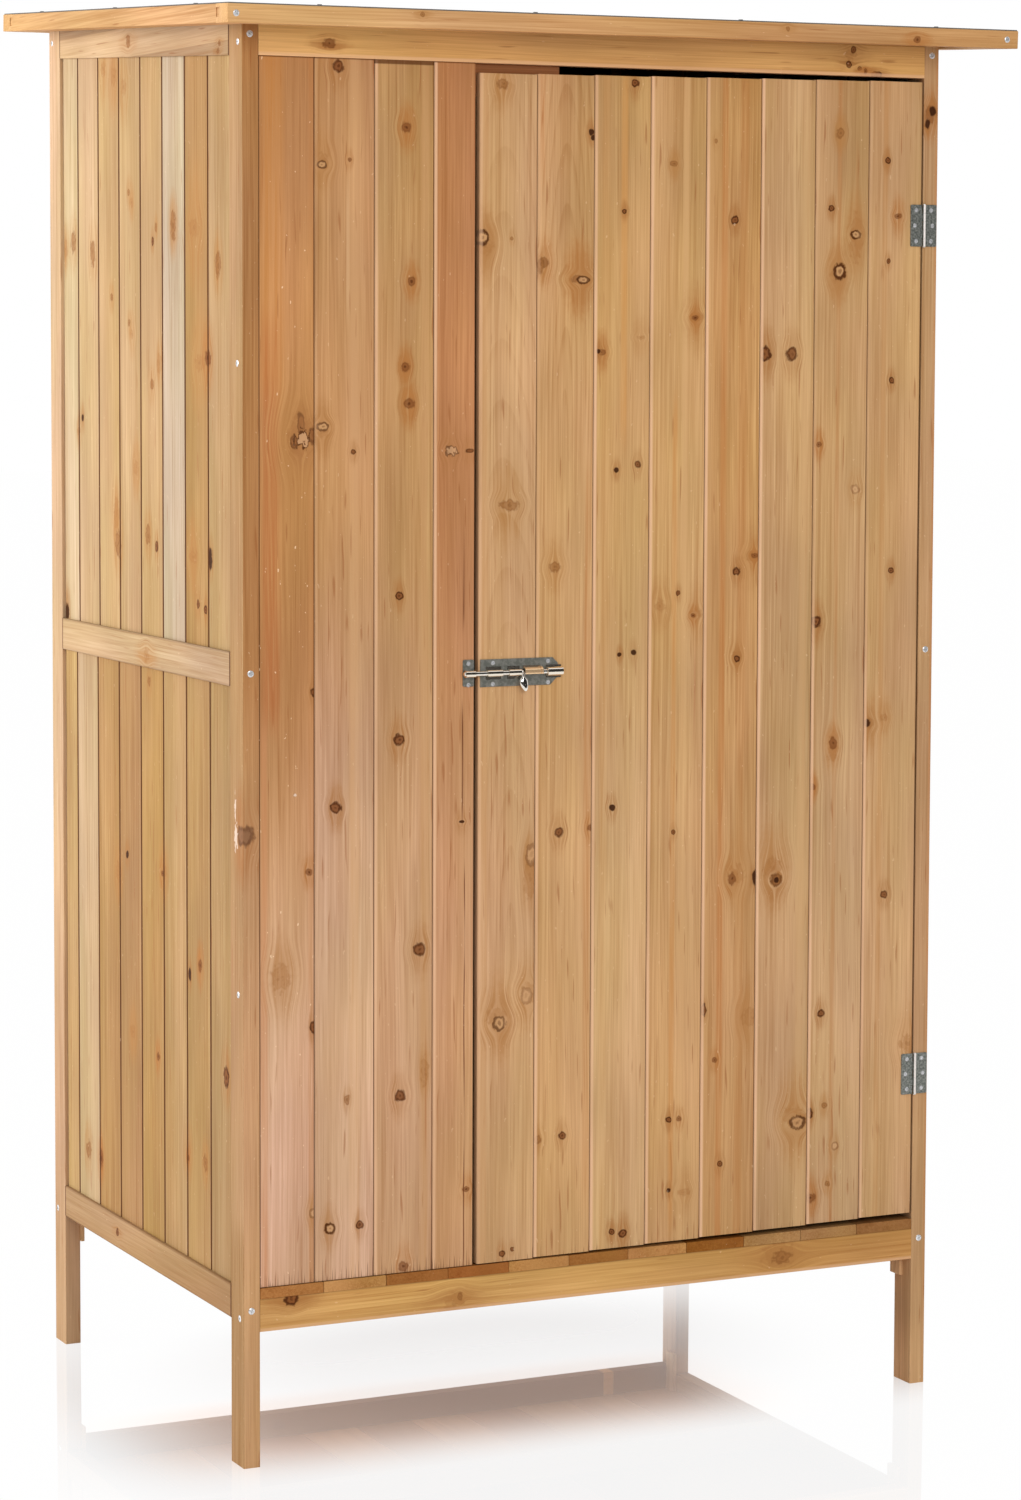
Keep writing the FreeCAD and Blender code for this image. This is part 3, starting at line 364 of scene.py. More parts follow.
def wood(name, grain, middle, colour=None, foot=None, fade=(1.15, 0.55), side=None, contrast=1.0,
         wave=0.0, arched=None, specks=0.25, knots=(), bands=(), shakes=(), row=None, half_width=None,
         seam=0.75, seam_width=1.8, pale_edge=0.0, bevel_highlight_top=None, fray=None, head=None, ends=None):
    """Stained softwood. grain names the axes along, across and through the piece, and middle is where
    across and through are zero.

    foot is the colour past the fade's end and side, a painted lit copy of the colour, that of the faces
    that look across. wave is how much paler a board is at knee and head height. A row is several boards
    in one node, told apart by where their edges are. half_width asks for seams, painted in shade with
    the stain that gathers there, and a painted highlight may lie on a left bevel. fray is the height of
    a ragged lower end, head is the height of an upper end and how thick the painted shade along it,
    under the rail, is, and ends are where a rail meets its posts, where the joints are painted in
    shade."""
    finish = Finish(name)
    chance = random.Random(name)
    place = finish.object_place()
    axes = finish.node("ShaderNodeSeparateXYZ", None, [place], "X")
    along, across, through = [axes.other(axis.upper()) for axis in grain]
    through = through - middle[1]
    if row:
        # The boards' numbers start at -1, since first_edge is where the first one ends.
        number = ((across - row["first_edge"]) / row["cover"]).whole()
        number = number.most(-1).least(row["count"] - 2)
        local = across - (number * row["cover"] + (row["first_edge"] + row["cover"] / 2))
        shuffle = finish.node("ShaderNodeTexWhiteNoise", {"noise_dimensions": "1D"},
                              {"W": number + chance.uniform(3, 90)}, "Value")
        along_shift = shuffle * 9.0
        knot_place = finish.vector(across, 0.0, along)
        knot_across = across
        stops = [(step / row["count"], tone) for step, tone in enumerate(row["tones"])]
        base = finish.node("ShaderNodeValToRGB", {"stops": stops}, [(number + 1.5) / row["count"]])
    else:
        local = across - middle[0]
        along_shift = chance.uniform(0, 9)
        knot_place = finish.vector(local, through, along)
        knot_across = local
        base = colour
    lumps = finish.noise(finish.vector(local, through, along + along_shift), (190, 190, 140), 2.0) - 0.5
    nearest, around, bent = add_knots(finish, knot_place, knot_across, knots, lumps)
    bent = local + (bent - knot_across)
    grain_place = finish.vector(bent, through, along + along_shift)
    if arched:
        arched = (arched[0], arched[1] + along_shift)
    share, height = grain_of(finish, bent, through, along + along_shift, arched)
    patch = finish.noise(grain_place, (14, 14, 5), 1.0)

    if foot:
        base = finish.mix(finish.ease(along, *fade), base, foot)
    # The faces that look across are painted in their own lit colour
    if side:
        facing = finish.node("ShaderNodeSeparateXYZ", None, [place.other("Normal")], grain[1].upper())
        base = finish.mix(finish.ease(facing.size(), 0.4, 0.7), base, side)
    late = [1 - swing * contrast for swing in grain_swing] + [1.0]
    early = [1 + swing * contrast for swing in grain_swing] + [1.0]
    tint = finish.mix(1.0, base, finish.mix(share, early, late), "MULTIPLY")
    mottled = finish.ease(patch, 0.3, 0.7, 0.93, 1.07)
    if wave:
        sine = finish.node("ShaderNodeMath", {"operation": "SINE"}, [along * wave_rate - wave_lag])
        mottled = mottled + sine * wave
    rosy = finish.ease(finish.noise(grain_place, (11, 11, 2.6), 2.0), 0.32, 0.68, -1.0, 1.0)
    mottle = finish.vector(*[mottled * level + rosy * swing for level, swing in mottle_of_channels])
    tint = finish.mix(1.0, tint, mottle, "MULTIPLY")
    flecks = finish.ease(finish.noise(grain_place, (330, 330, 22), 0.0), 0.74, 0.86, 0.0, 0.5)
    tint = finish.mix(flecks, tint, fleck_colour)
    tint = paint_bands(finish, tint, bands, local, along, share)
    tint = colour_knots(finish, tint, nearest, around, share)
    tint = paint_shakes(finish, tint, shakes, local, along, patch)
    # Painted shade in the seams, and a painted highlight on a left bevel where asked
    if half_width:
        tint = paint_seams(finish, tint, local, along, patch, half_width, seam, seam_width, pale_edge,
                           bevel_highlight_top)
    if fray:
        tint = paint_fray(finish, tint, local, along, fray)
    # Painted shade along the upper end, under the rail
    if head:
        head_shade_start = head[0] - head[1]
        head_shade_mask = finish.ease(along, (head_shade_start - 1.5) * mm, head_shade_start * mm, 0.0, 0.8)
        tint = finish.mix(head_shade_mask, tint, seam_colour)
    # Painted shade in the joints where a rail meets its posts
    if ends:
        near_end = (along - ends[0]).least(ends[1] - along)
        tint = finish.mix(finish.ease(near_end, 3.4 * mm, 1.4 * mm, 0.0, 0.85), tint, seam_colour)
    chips = finish.ease(finish.noise(grain_place, (330, 330, 150)), 0.765, 0.79, 0.0, specks)
    tint = finish.mix(chips, tint, speck_colour)
    roughness = (share - 0.5) * 0.12 + 0.5
    return finish.surface(tint, roughness, height, bump=0.3, depth=0.35 * mm, specular=0.03)


def dress(node, material):
    slots = nodes[node].data.materials
    slots.clear()
    slots.append(material)


def dress_wood(node, grain, middle_across=None, **look):
    """Dresses a piece in wood. Its middle is that of its box, across the grain unless that is given."""
    low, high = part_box(node)
    across, through = ["xyz".index(axis) for axis in grain[1:]]
    if middle_across is None:
        middle_across = (low[across] + high[across]) / 2
    dress(node, wood(node, grain, (middle_across, (low[through] + high[through]) / 2), **look))


def painted(look):
    """A look with its colours turned into paint."""
    colours = ("colour", "foot", "side")
    return {name: paint(*value) if name in colours else value for name, value in look.items()}


# Door boards, from the left, measured in mm. Knots are (offset from the board's middle, height, radius,
# kind, how flat), bands are (offset, half width, colour, strength, from and to height), and each board
# gives the strength of a painted highlight on its left bevel.
door_boards = [
    {"colour": (193, 150, 103), "foot": (195, 152, 107), "pale_edge": 0.4, "arched": (0.16, 0.55),
     "bands": [(-30, 7, (206, 160, 112), 0.5)],
     "knots": [
         (-8, 1572, 8, "faint", 1.2), (-33, 1397, 8, "ringed", 0.85), (-31, 1388, 11, "stain"),
         (4, 1397, 2.4, "faint"), (2, 1091, 12, "faint", 1.7), (32, 684, 8, "pale", 0.6),
         (30, 655, 8, "stain", 0.3), (26, 519, 8, "pale", 0.8), (30, 521, 12, "stain", 0.9),
         (-9, 489, 9, "ringed"), (-13, 497, 13, "stain"), (-4, 217, 4, "tight"), (9, 221, 3, "tight")]},
    {"colour": (195, 151, 101), "foot": (195, 151, 101), "pale_edge": 0.75, "bevel_highlight_top": 960,
     "arched": (0.26, 1.16),
     "bands": [(-31, 5, (190, 124, 70), 0.45, 1500, 1575), (30, 6, (190, 128, 74), 0.4, 300, 1100)],
     "knots": [
         (32, 1520, 4, "dead", 0.9), (34, 1514, 3, "dead", 0.7), (-29, 1370, 7, "red", 1.0),
         (-33, 1366, 5, "faint", 0.5), (22, 1350, 9, "ringed", 1.9), (16, 1351, 11, "red", 2.2),
         (-13, 1018, 8, "faint", 1.3), (-6, 708, 6, "tight"), (35, 712, 5, "red"),
         (-32, 348, 5, "faint"), (0, 350, 5, "tight")]},
    {"colour": (194, 151, 98), "foot": (200, 160, 112), "pale_edge": 0.85,
     "bands": [(2, 6, (206, 148, 82), 0.5, 1200, 1560), (-22, 7, (196, 150, 96), 0.4)],
     "knots": [
         (15, 1578, 5.5, "tight", 1.3), (2, 1430, 3, "tight"), (-27, 1267, 6, "red", 1.6),
         (-31, 1268, 3, "dead"), (24, 1284, 6, "stain", 2.5), (-7, 1130, 3.6, "dead"),
         (21, 1136, 4.4, "tight"), (-2, 914, 3, "dead"), (17, 916, 4, "dead"), (-10, 734, 4.4, "dead"),
         (-8, 229, 4, "tight"), (7, 226, 6, "tight", 1.3)]},
    {"colour": (197, 154, 101), "foot": (195, 151, 101), "pale_edge": 0.75,
     "bands": [
         (-3, 5, (200, 140, 78), 0.5, 260, 1180), (10, 6, (214, 172, 122), 0.5),
         (25, 1.6, (160, 84, 50), 0.5, 855, 885)],
     "knots": [
         (-7, 1486, 5, "faint", 1.3), (25, 1308, 10, "stain", 1.7), (22, 1307, 5, "red", 1.5),
         (2, 984, 3, "tight"), (27, 959, 9, "stain", 1.5), (22, 957, 4, "red", 1.5),
         (-22, 970, 8, "stain"), (-2, 701, 3, "tight"), (-6, 357, 4, "tight"), (8, 357, 4, "red"),
         (-5, 272, 3, "dead"), (15, 268, 8, "stain", 1.5)]},
    {"colour": (194, 147, 93), "foot": (190, 144, 94), "pale_edge": 0.9, "contrast": 1.1,
     "bands": [
         (-12, 6, (186, 120, 64), 0.5), (14, 8, (180, 122, 68), 0.4), (-30, 5, (200, 158, 108), 0.4)],
     "knots": [
         (-25, 1514, 3, "faint"), (1, 1422, 5, "tight"), (7, 1008, 5, "tight"),
         (28, 1025, 10, "stain", 1.5), (31, 1026, 5, "red", 1.4), (8, 904, 4, "tight"),
         (8, 908, 6, "stain"), (4, 641, 6, "red", 0.7), (10, 645, 12, "stain"),
         (-33, 485, 4, "tight", 0.5), (31, 473, 12, "stain"), (-18, 424, 4, "red"),
         (-10, 298, 4, "tight"), (35, 640, 4, "dead", 0.4)]},
    {"colour": (193, 152, 104), "foot": (190, 150, 106), "pale_edge": 0.9,
     "bands": [(24, 8, (208, 168, 120), 0.5)],
     "knots": [
         (-31, 1265, 9, "tight"), (6, 1265, 8, "tight"), (-9, 636, 8, "tight"), (-14, 650, 14, "stain"),
         (-9, 636, 4, "dead"), (23, 339, 11, "ringed", 1.2), (23, 339, 7, "faint", 1.2),
         (18, 347, 15, "stain", 1.2)]},
    {"colour": (190, 149, 101), "foot": (191, 152, 108), "pale_edge": 0.8, "bevel_highlight_top": 950,
     "bands": [(-4, 4, (180, 124, 74), 0.4), (20, 3, (176, 128, 80), 0.4, 1360, 1480)],
     "knots": [
         (-4, 1527, 6, "faint"), (-15, 1438, 4, "tight"), (19, 1407, 7, "ringed", 1.25),
         (19, 1404, 9, "stain", 0.3), (-3, 1363, 9, "ringed", 0.9), (-7, 1361, 9, "stain", 0.9),
         (-29, 1157, 5, "red", 1.4), (21, 1103, 6, "pale"), (-31, 945, 7, "tight"),
         (-6, 798, 6, "red", 0.7), (-6, 792, 7, "stain", 0.4), (-34, 746, 5, "red"),
         (-19, 470, 5, "tight"), (-34, 349, 5, "tight", 0.8), (-13, 357, 4, "faint"),
         (2, 306, 5, "pale"), (-8, 260, 4, "faint"), (-31, 245, 7, "red")]},
    {"colour": (193, 151, 103), "foot": (195, 153, 107), "pale_edge": 0.8, "bevel_highlight_top": 900,
     "bands": [(-14, 5, (190, 140, 88), 0.4)],
     "knots": [
         (-11, 1496, 4, "tight"), (4, 1430, 6, "red", 1.7), (-9, 1376, 3, "tight"),
         (-3, 1233, 4, "tight"), (-1, 1004, 4, "tight"), (-32, 820, 5, "dead"),
         (-30, 820, 9, "stain", 1.5), (-6, 610, 5, "tight"), (-8, 826, 6, "stain", 1.4),
         (30, 424, 12, "stain")]},
]

door_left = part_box("door_board_1")[0].x
door_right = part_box("door_board_8")[1].x
door_half_board = (door_right - door_left) / (2 * len(door_boards))
door_fray_drop = 10
for number, look in enumerate(door_boards, start=1):
    node = "door_board_%d" % number
    middle_x = door_left + (2 * number - 1) * door_half_board
    dress_wood(node, "zxy", middle_x, half_width=door_half_board / mm, wave=front_wave,
               fray=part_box(node)[0].z / mm - door_fray_drop, **painted(look))

# Fixed boards, from the left. Their spans are (middle from the post's left side, half width), and their
# head numbers are how thick the painted shade along the top, under the rail, is.
fixed_boards = [
    {"colour": (185, 132, 81), "foot": (206, 164, 129), "fade": (0.95, 0.4), "seam": 0.85,
     "specks": 0.7,
     "bands": [
         (-17, 19, (202, 138, 72), 0.5, 1250, 1620), (-19, 15, (180, 108, 62), 0.55, 880, 1270),
         (-28, 6, (204, 144, 100), 0.5, 200, 820), (30, 5, (184, 126, 76), 0.5)],
     "knots": [
         (19, 1169, 9, "torn", 0.9), (17, 1186, 5, "tight", 0.35), (31, 1173, 5, "tight", 0.5),
         (9, 1166, 5, "tight", 0.6), (18, 1172, 17, "stain", 0.8), (10, 768, 2.2, "scar"),
         (33, 883, 5, "tight"), (27, 679, 5, "red"), (33, 501, 5, "tight", 0.6), (33, 287, 6, "pale"),
         (-8, 560, 12, "stain", 0.7)]},
    {"colour": (186, 138, 90), "foot": (202, 161, 125), "pale_edge": 0.15,
     "bands": [(12, 9, (214, 170, 124), 0.5), (4, 3, (222, 184, 140), 0.6, 1340, 1420)],
     "knots": [
         (-8, 1586, 7, "tight"), (-28, 1476, 6, "ringed", 1.3), (-27, 1480, 9, "stain"),
         (6, 1482, 3, "red"), (-27, 1183, 8, "ringed", 1.5), (-27, 1178, 8, "stain"),
         (11, 1154, 3.4, "tight"), (-11, 751, 7, "tight", 1.1), (3, 415, 4, "faint", 0.6),
         (-18, 267, 7, "ringed"), (19, 268, 5, "tight")]},
    {"colour": (186, 142, 92), "foot": (195, 152, 111), "pale_edge": 0.7,
     "bands": [(26, 8, (200, 156, 108), 0.5), (28, 1.5, (168, 110, 68), 0.6, 380, 450)],
     "knots": [
         (2, 1520, 7, "red"), (9, 1347, 6, "red"), (1, 1250, 6, "red"), (6, 1208, 7, "red"),
         (-6, 990, 5, "tight"), (-6, 825, 7, "tight"), (20, 582, 8, "tight"), (-4, 414, 7, "tight"),
         (27, 440, 5, "stain", 0.3), (0, 214, 7, "red")]},
    {"colour": (178, 122, 77), "foot": (196, 148, 105), "pale_edge": 0.8, "seam": 0.35,
     "shakes": [(12, 960, 1110, 1.4), (11, 735, 856, 1.4), (14, 208, 671, 1.0)],
     "knots": [
         (-4, 1154, 8, "torn", 1.4), (-6, 1155, 4, "dead", 1.2), (19, 1154, 5, "tight", 1.8),
         (10, 727, 4, "dead", 2.2), (17, 297, 5, "red", 1.4)]},
]
fixed_spans = ((53.85, 33.85), (124.5, 36.8), (198.1, 36.8), (260.8, 25.9))
fixed_head_shades = (0.5, 0.5, 4.0, 0.5)
for number, look in enumerate(fixed_boards, start=1):
    node = "fixed_panel_board_%d" % number
    low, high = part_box(node)
    from_post, half_width = fixed_spans[number - 1]
    dress_wood(node, "zxy", left + from_post * mm, half_width=half_width, wave=front_wave,
               fray=low.z / mm, head=(high.z / mm, fixed_head_shades[number - 1]), **painted(look))

# Walls, floor and roof boards. The side walls' knots are (distance behind the front, height, radius,
# kind, how flat), and their tones run from the front to the back. Besides each board's own tone, they
# grow paler towards the back: painted light.


def board_row(node, axis, first_board, cover, tones):
    """Boards side by side in one node: how wide the first one shows and what the others cover, in
    metres, and their colours."""
    start = getattr(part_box(node)[0], axis)
    return {"first_edge": start + first_board, "cover": cover, "count": len(tones),
            "tones": [paint(*tone) for tone in tones]}


upper_tones = [
    (176, 142, 97), (170, 131, 81), (185, 163, 132), (181, 146, 100), (182, 147, 103), (186, 151, 105),
    (190, 157, 114), (196, 170, 130)]
lower_tones = [
    (166, 132, 87), (169, 132, 84), (177, 140, 94), (170, 131, 78), (166, 126, 82), (169, 129, 80),
    (187, 157, 116), (181, 146, 96)]
upper_knots = [
    (430, 1595, 12, "stain"), (466, 1606, 10, "stain"), (394, 1580, 11, "stain"),
    (378, 1455, 5, "faint"), (368, 1442, 6, "stain"), (578, 1399, 9, "faint", 0.6),
    (606, 1391, 8, "stain", 0.6), (506, 1384, 10, "faint", 0.6), (285, 1411, 4, "faint", 0.7),
    (296, 1395, 4, "tight", 0.7), (228, 1412, 9, "faint", 0.5), (160, 1408, 18, "stain", 1.6),
    (85, 1365, 9, "faint", 0.6), (439, 1330, 5, "faint"), (377, 1299, 5, "faint"),
    (368, 1285, 7, "stain"), (546, 1182, 5, "dead"), (560, 1165, 6, "stain"), (355, 1126, 9, "stain"),
    (424, 1069, 10, "stain", 0.5), (419, 1032, 10, "faint", 0.6), (315, 1047, 8, "faint", 0.6),
    (286, 1036, 5, "tight", 0.7), (300, 1227, 7, "faint"), (275, 1252, 7, "stain", 0.5),
    (117, 1259, 11, "red", 1.1), (143, 1253, 16, "stain", 1.5), (111, 1030, 7, "dead", 0.5),
    (166, 1030, 13, "stain", 1.4), (150, 976, 5, "tight"), (126, 971, 5, "tight"),
    (608, 937, 9, "dead", 0.8)]
lower_knots = [
    (64, 439, 9, "tight", 0.7), (131, 327, 7, "faint", 0.7), (187, 330, 9, "stain", 0.6),
    (187, 322, 4, "red"), (146, 556, 7, "red", 0.8), (180, 541, 5, "dead", 0.5),
    (266, 651, 10, "stain"), (270, 648, 5, "red", 1.4), (286, 426, 6, "red"), (313, 873, 6, "faint"),
    (373, 442, 9, "stain"), (391, 656, 5, "dead"), (422, 630, 10, "stain", 0.7),
    (490, 264, 8, "red", 0.6), (536, 266, 9, "faint", 0.7)]
wall_depth = 653
board_cover = 73.6

# The right wall has the left one's boards mirrored, with every other knot, set lower
right_wall_drop = 25
for side in ("left", "right"):
    for level, first_board, cover, tones, knots in (("upper", 77.0, 73.8, upper_tones, upper_knots),
                                                    ("lower", 73.0, 76.2, lower_tones, lower_knots)):
        if side == "right":
            tones = tones[::-1]
            knots = [(wall_depth - y, z - right_wall_drop, *rest) for y, z, *rest in knots[::2]]
        node = "%s_%s_boards" % (side, level)
        # The wide seams on the walls are painted shade in the grooves between the boards
        dress_wood(node, "zyx", row=board_row(node, "y", first_board * mm, cover * mm, tones),
                   knots=[(front / mm + y, z, *rest) for y, z, *rest in knots],
                   half_width=cover / 2, seam=1.0, seam_width=3.2)

back_tones = [upper_tones[(3 * number) % 8] for number in range(12)]
back_row = board_row("back_boards", "x", 60.0 * mm, board_cover * mm, back_tones)
# A few small knots, spread unevenly over the back
back_knots = [(-380 + 137 * step % 760, 260 + 311 * step % 1290, 4 + step % 4,
               "tight" if step % 3 else "faint") for step in range(12)]
dress_wood("back_boards", "zxy", row=back_row, knots=back_knots, half_width=board_cover / 2)

floor_low, floor_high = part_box("floor_boards")
floor_tones = [
    (166, 112, 59), (184, 134, 77), (150, 96, 46), (151, 92, 44), (181, 130, 74), (151, 99, 47),
    (179, 127, 73), (141, 87, 35), (166, 124, 74), (163, 120, 73), (146, 100, 55)]
floor_cover = (floor_high.x - floor_low.x) / len(floor_tones)
floor_row = board_row("floor_boards", "x", floor_cover, floor_cover, floor_tones)
dress_wood("floor_boards", "yxz", row=floor_row)

roof_tones = [upper_tones[(5 * number) % 8] for number in range(13)]
roof_row = board_row("roof_boards", "x", board_cover * mm, board_cover * mm, roof_tones)
dress_wood("roof_boards", "yxz", row=roof_row)

# Frame timber. A post's side colour is that of the faces that look to the left and the right, a painted
# lit copy of its colour.
posts = {
    "post_front_left": {"colour": (170, 119, 72), "foot": (192, 147, 103), "side": (172, 134, 92),
                        "fade": (0.95, 0.6),
                        "bands": [(-10, 1.0, (145, 108, 66), 0.8, -100, 240)],
                        "knots": [
                            (-8, 724, 13.5, "worn", 1.1, -15), (-11, 752, 3, "scar", 0.16, 4),
                            (-11, 722, 6, "scar", 0.36, 2)]},
    "post_front_right": {"colour": (184, 142, 99), "foot": (200, 155, 108), "fade": (0.1, 0.03),
                         "bands": [(9, 4, (190, 132, 84), 0.6)],
                         "knots": [
                             (-1, 1552, 8, "red", 0.7), (-5, 1541, 4, "dead", 0.6),
                             (2, 1556, 5, "dead", 0.7)]},
    "post_back_left": {"colour": (199, 164, 125), "foot": (184, 146, 107), "fade": (0.8, 0.35)},
    "post_back_right": {"colour": (186, 143, 100)},
}
for name, look in posts.items():
    dress_wood(name, "zxy", **painted(look))

rail_half_height = 19.0


def dress_rail(name, grain, look, spots=()):
    """Dresses a rail. Its knots are (place along it from the left or the front, height, radius, kind,
    how flat)."""
    low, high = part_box(name)
    start = front if name.startswith(("left", "right")) else left
    middle_z = (low.z + high.z) / 2 / mm
    knots = [(height - middle_z, start / mm + place, *rest) for place, height, *rest in spots]
    across_front = name.startswith("front")
    # A front rail has a painted highlight along its lower edge and painted shade along its top; the
    # other rails have painted shade along both edges and at their ends.
    dress_wood(name, grain, knots=knots, half_width=rail_half_height, seam=0.3,
               pale_edge=0.5 if across_front else 0.0, ends=None if across_front else (low.y, high.y),
               **painted(look))


cross_rails = {
    "front_top_rail": ({"colour": (221, 174, 107), "foot": (205, 155, 93), "fade": (-0.38, -0.22)},
                       [
                           (105, 1611, 6, "red", 0.7), (775, 1608, 4, "tight"),
                           (778, 1620, 7, "stain", 0.8), (781, 1626, 4, "tight"),
                           (790, 1604, 3, "tight"), (798, 1601, 4, "red", 1.5),
                           (813, 1597, 5, "tight", 0.6)]),
    "front_bottom_rail": ({"colour": (205, 157, 94), "foot": (188, 138, 78), "fade": (-0.1, 0.3)},
                          [
                              (58, 192, 9, "tight"), (262, 164, 12, "stain", 0.9),
                              (270, 172, 5, "faint", 1.4), (698, 176, 8, "faint", 0.6),
                              (694, 180, 16, "stain", 0.7)]),
    "back_bottom_rail": ({"colour": (196, 148, 92)},
                         [(300, 176, 7, "tight")]),
    "back_top_rail": ({"colour": (196, 148, 92)},
                      [(520, 1650, 6, "faint")]),
}
for name, (look, spots) in cross_rails.items():
    dress_rail(name, "xzy", look, spots)

side_rails = {
    "bottom": ({"colour": (160, 123, 81), "foot": (172, 135, 93), "fade": (-0.2, 0.2)},
               [(420, 186, 5, "tight")]),
    "middle": ({"colour": (186, 155, 119), "foot": (192, 158, 118), "fade": (-0.2, 0.2)},
               [(310, 905, 9, "stain")]),
    "top": ({"colour": (186, 154, 116), "foot": (195, 162, 121), "fade": (-0.2, 0.2)},
            [(365, 1632, 8, "faint"), (68, 1611, 4, "faint"), (72, 1604, 4, "faint")]),
}
for side in ("left", "right"):
    for level, (look, spots) in side_rails.items():
        dress_rail("%s_%s_rail" % (side, level), "yzx", look, spots)

dress_wood("door_stop_batten", "xzy", colour=paint(142, 90, 54))
for name, grain in (("fixed_panel_battens", "xzy"), ("back_battens", "xzy"), ("door_battens", "xzy"),
                    ("floor_bearer", "xzy"), ("corner_plates", "zyx")):
    dress_wood(name, grain, colour=paint(206, 166, 120))

roof_front_knots = [(-2, left / mm + 830, 5, "red", 0.9), (4, left / mm + 655, 3, "faint"),
                    (3, left / mm + 190, 3, "faint")]
dress_wood("roof_front_rail", "xzy", colour=paint(212, 166, 112), foot=paint(189, 142, 90),
           fade=(-0.44, 0.2), knots=roof_front_knots)
for name, grain in (("roof_back_rail", "xzy"), ("roof_left_rail", "yzx"), ("roof_right_rail", "yzx")):
    dress_wood(name, grain, colour=paint(206, 160, 108))


# Felt and metal

cloud_depth = 0.1 * mm


def felt():
    finish = Finish("mineral_felt")
    place = finish.object_place()
    grit = finish.noise(place, (900, 900, 900), 2.0)
    cloud = finish.noise(place, (8, 8, 8), 3.0)
    colour = finish.mix(grit, paint(70, 70, 70), paint(116, 115, 112))
    colour = finish.mix(finish.ease(cloud, 0.4, 0.7, 0.0, 0.35), colour, paint(128, 126, 120))
    return finish.surface(colour, 0.9, grit, bump=0.8, depth=0.6 * mm, specular=0.2)


def metal(name, bright, dull, roughness, spread, bump, speck_size, plating=1.0):
    """Plated steel: a fine cloud of brighter and duller places."""
    finish = Finish(name)
    place = finish.object_place()
    cloud = finish.noise(place, (speck_size,) * 3, 3.0)
    colour = finish.mix(finish.ease(cloud, 0.3, 0.7), paint(*dull), paint(*bright))
    roughness = (cloud - 0.5) * spread + roughness
    return finish.surface(colour, roughness, cloud, bump, cloud_depth, metallic=plating)


def screw_plating():
    """Bright heads with painted shade on their rims and in their cross recesses. Every head looks along
    an axis.
    """
    finish = Finish("screw_zinc")
    place = finish.object_place()
    cloud = finish.noise(place, (900, 900, 900), 3.0)
    facing = finish.node("ShaderNodeSeparateXYZ", None, [place.other("Normal")], "X")
    squarely = facing.size().most(facing.other("Y").size()).most(facing.other("Z").size())
    colour = finish.mix(finish.ease(cloud, 0.3, 0.7), paint(196, 198, 200), paint(242, 243, 244))
    # Painted shade on the rims and in the cross recesses, where a face does not look straight along an
    # axis
    colour = finish.mix(finish.ease(squarely, 0.9, 0.65), colour, paint(96, 100, 100))
    roughness = (cloud - 0.5) * 0.2 + 0.3
    return finish.surface(colour, roughness, cloud, bump=0.08, depth=cloud_depth, metallic=0.5)


def hinge_plating():
    """Cloudy grey leaves with a painted highlight, a bright line down the front of the knuckles."""
    finish = Finish("hinge_plating")
    place = finish.object_place()
    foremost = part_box("upper_hinge_frame_leaf")[0].y
    cloud = finish.noise(place, (420, 420, 420), 3.0)
    colour = finish.mix(finish.ease(cloud, 0.3, 0.7), paint(92, 98, 92), paint(150, 152, 146))
    stands = finish.node("ShaderNodeSeparateXYZ", None, [place], "Y")
    # A painted highlight: a thin white line where the knuckles stand furthest forward
    worn = finish.ease(stands, foremost + 1.0 * mm, foremost + 0.3 * mm)
    colour = finish.mix(worn, colour, paint(240, 234, 228))
    roughness = (cloud - 0.5) * 0.3 + 0.4
    plating = finish.ease(worn, 0.0, 1.0, 0.5, 0.2)
    return finish.surface(colour, roughness, cloud, bump=0.15, depth=cloud_depth, metallic=plating)


def bolt_plating():
    """Bright straps and sleeve on a satin plate, told apart by how far they stand from the door, with
    painted shade round the foot of each raised part and a painted warm reflection on the sleeve.
    """
    finish = Finish("bolt_plating")
    sleeve_left = -116.6 * mm
    sleeve_right = -87.6 * mm
    place = finish.object_place()
    cloud = finish.noise(place, (260, 260, 260), 2.0)
    axes = finish.node("ShaderNodeSeparateXYZ", None, [place], "X")
    stands = axes.other("Y")
    raised = finish.ease(stands, front - 1.25 * mm, front - 1.5 * mm)
    satin = finish.mix(finish.ease(cloud, 0.35, 0.65), paint(116, 118, 110), paint(142, 142, 134))
    # Painted shade round the foot of each raised part, next to the plate
    colour = finish.mix(raised, satin, paint(84, 78, 70))
    bright = finish.ease(stands, front - 1.7 * mm, front - 2.4 * mm)
    colour = finish.mix(bright, colour, paint(240, 230, 214))
    # A painted warm reflection of the wood on the sleeve
    sleeve_reflection = finish.ease(axes, sleeve_left - 0.8 * mm, sleeve_left)
    sleeve_reflection = sleeve_reflection * finish.ease(axes, sleeve_right + 0.6 * mm, sleeve_right) * bright
    colour = finish.mix(sleeve_reflection, colour, paint(232, 196, 152))
    roughness = finish.ease(raised, 0.0, 1.0, 0.34, 0.12) + (cloud - 0.5) * 0.08
    plating = finish.ease(raised, 0.0, 1.0, 0.5, 0.75) + bright * 0.25 - sleeve_reflection * 0.45
    return finish.surface(colour, roughness, cloud, bump=0.03, depth=cloud_depth, metallic=plating)


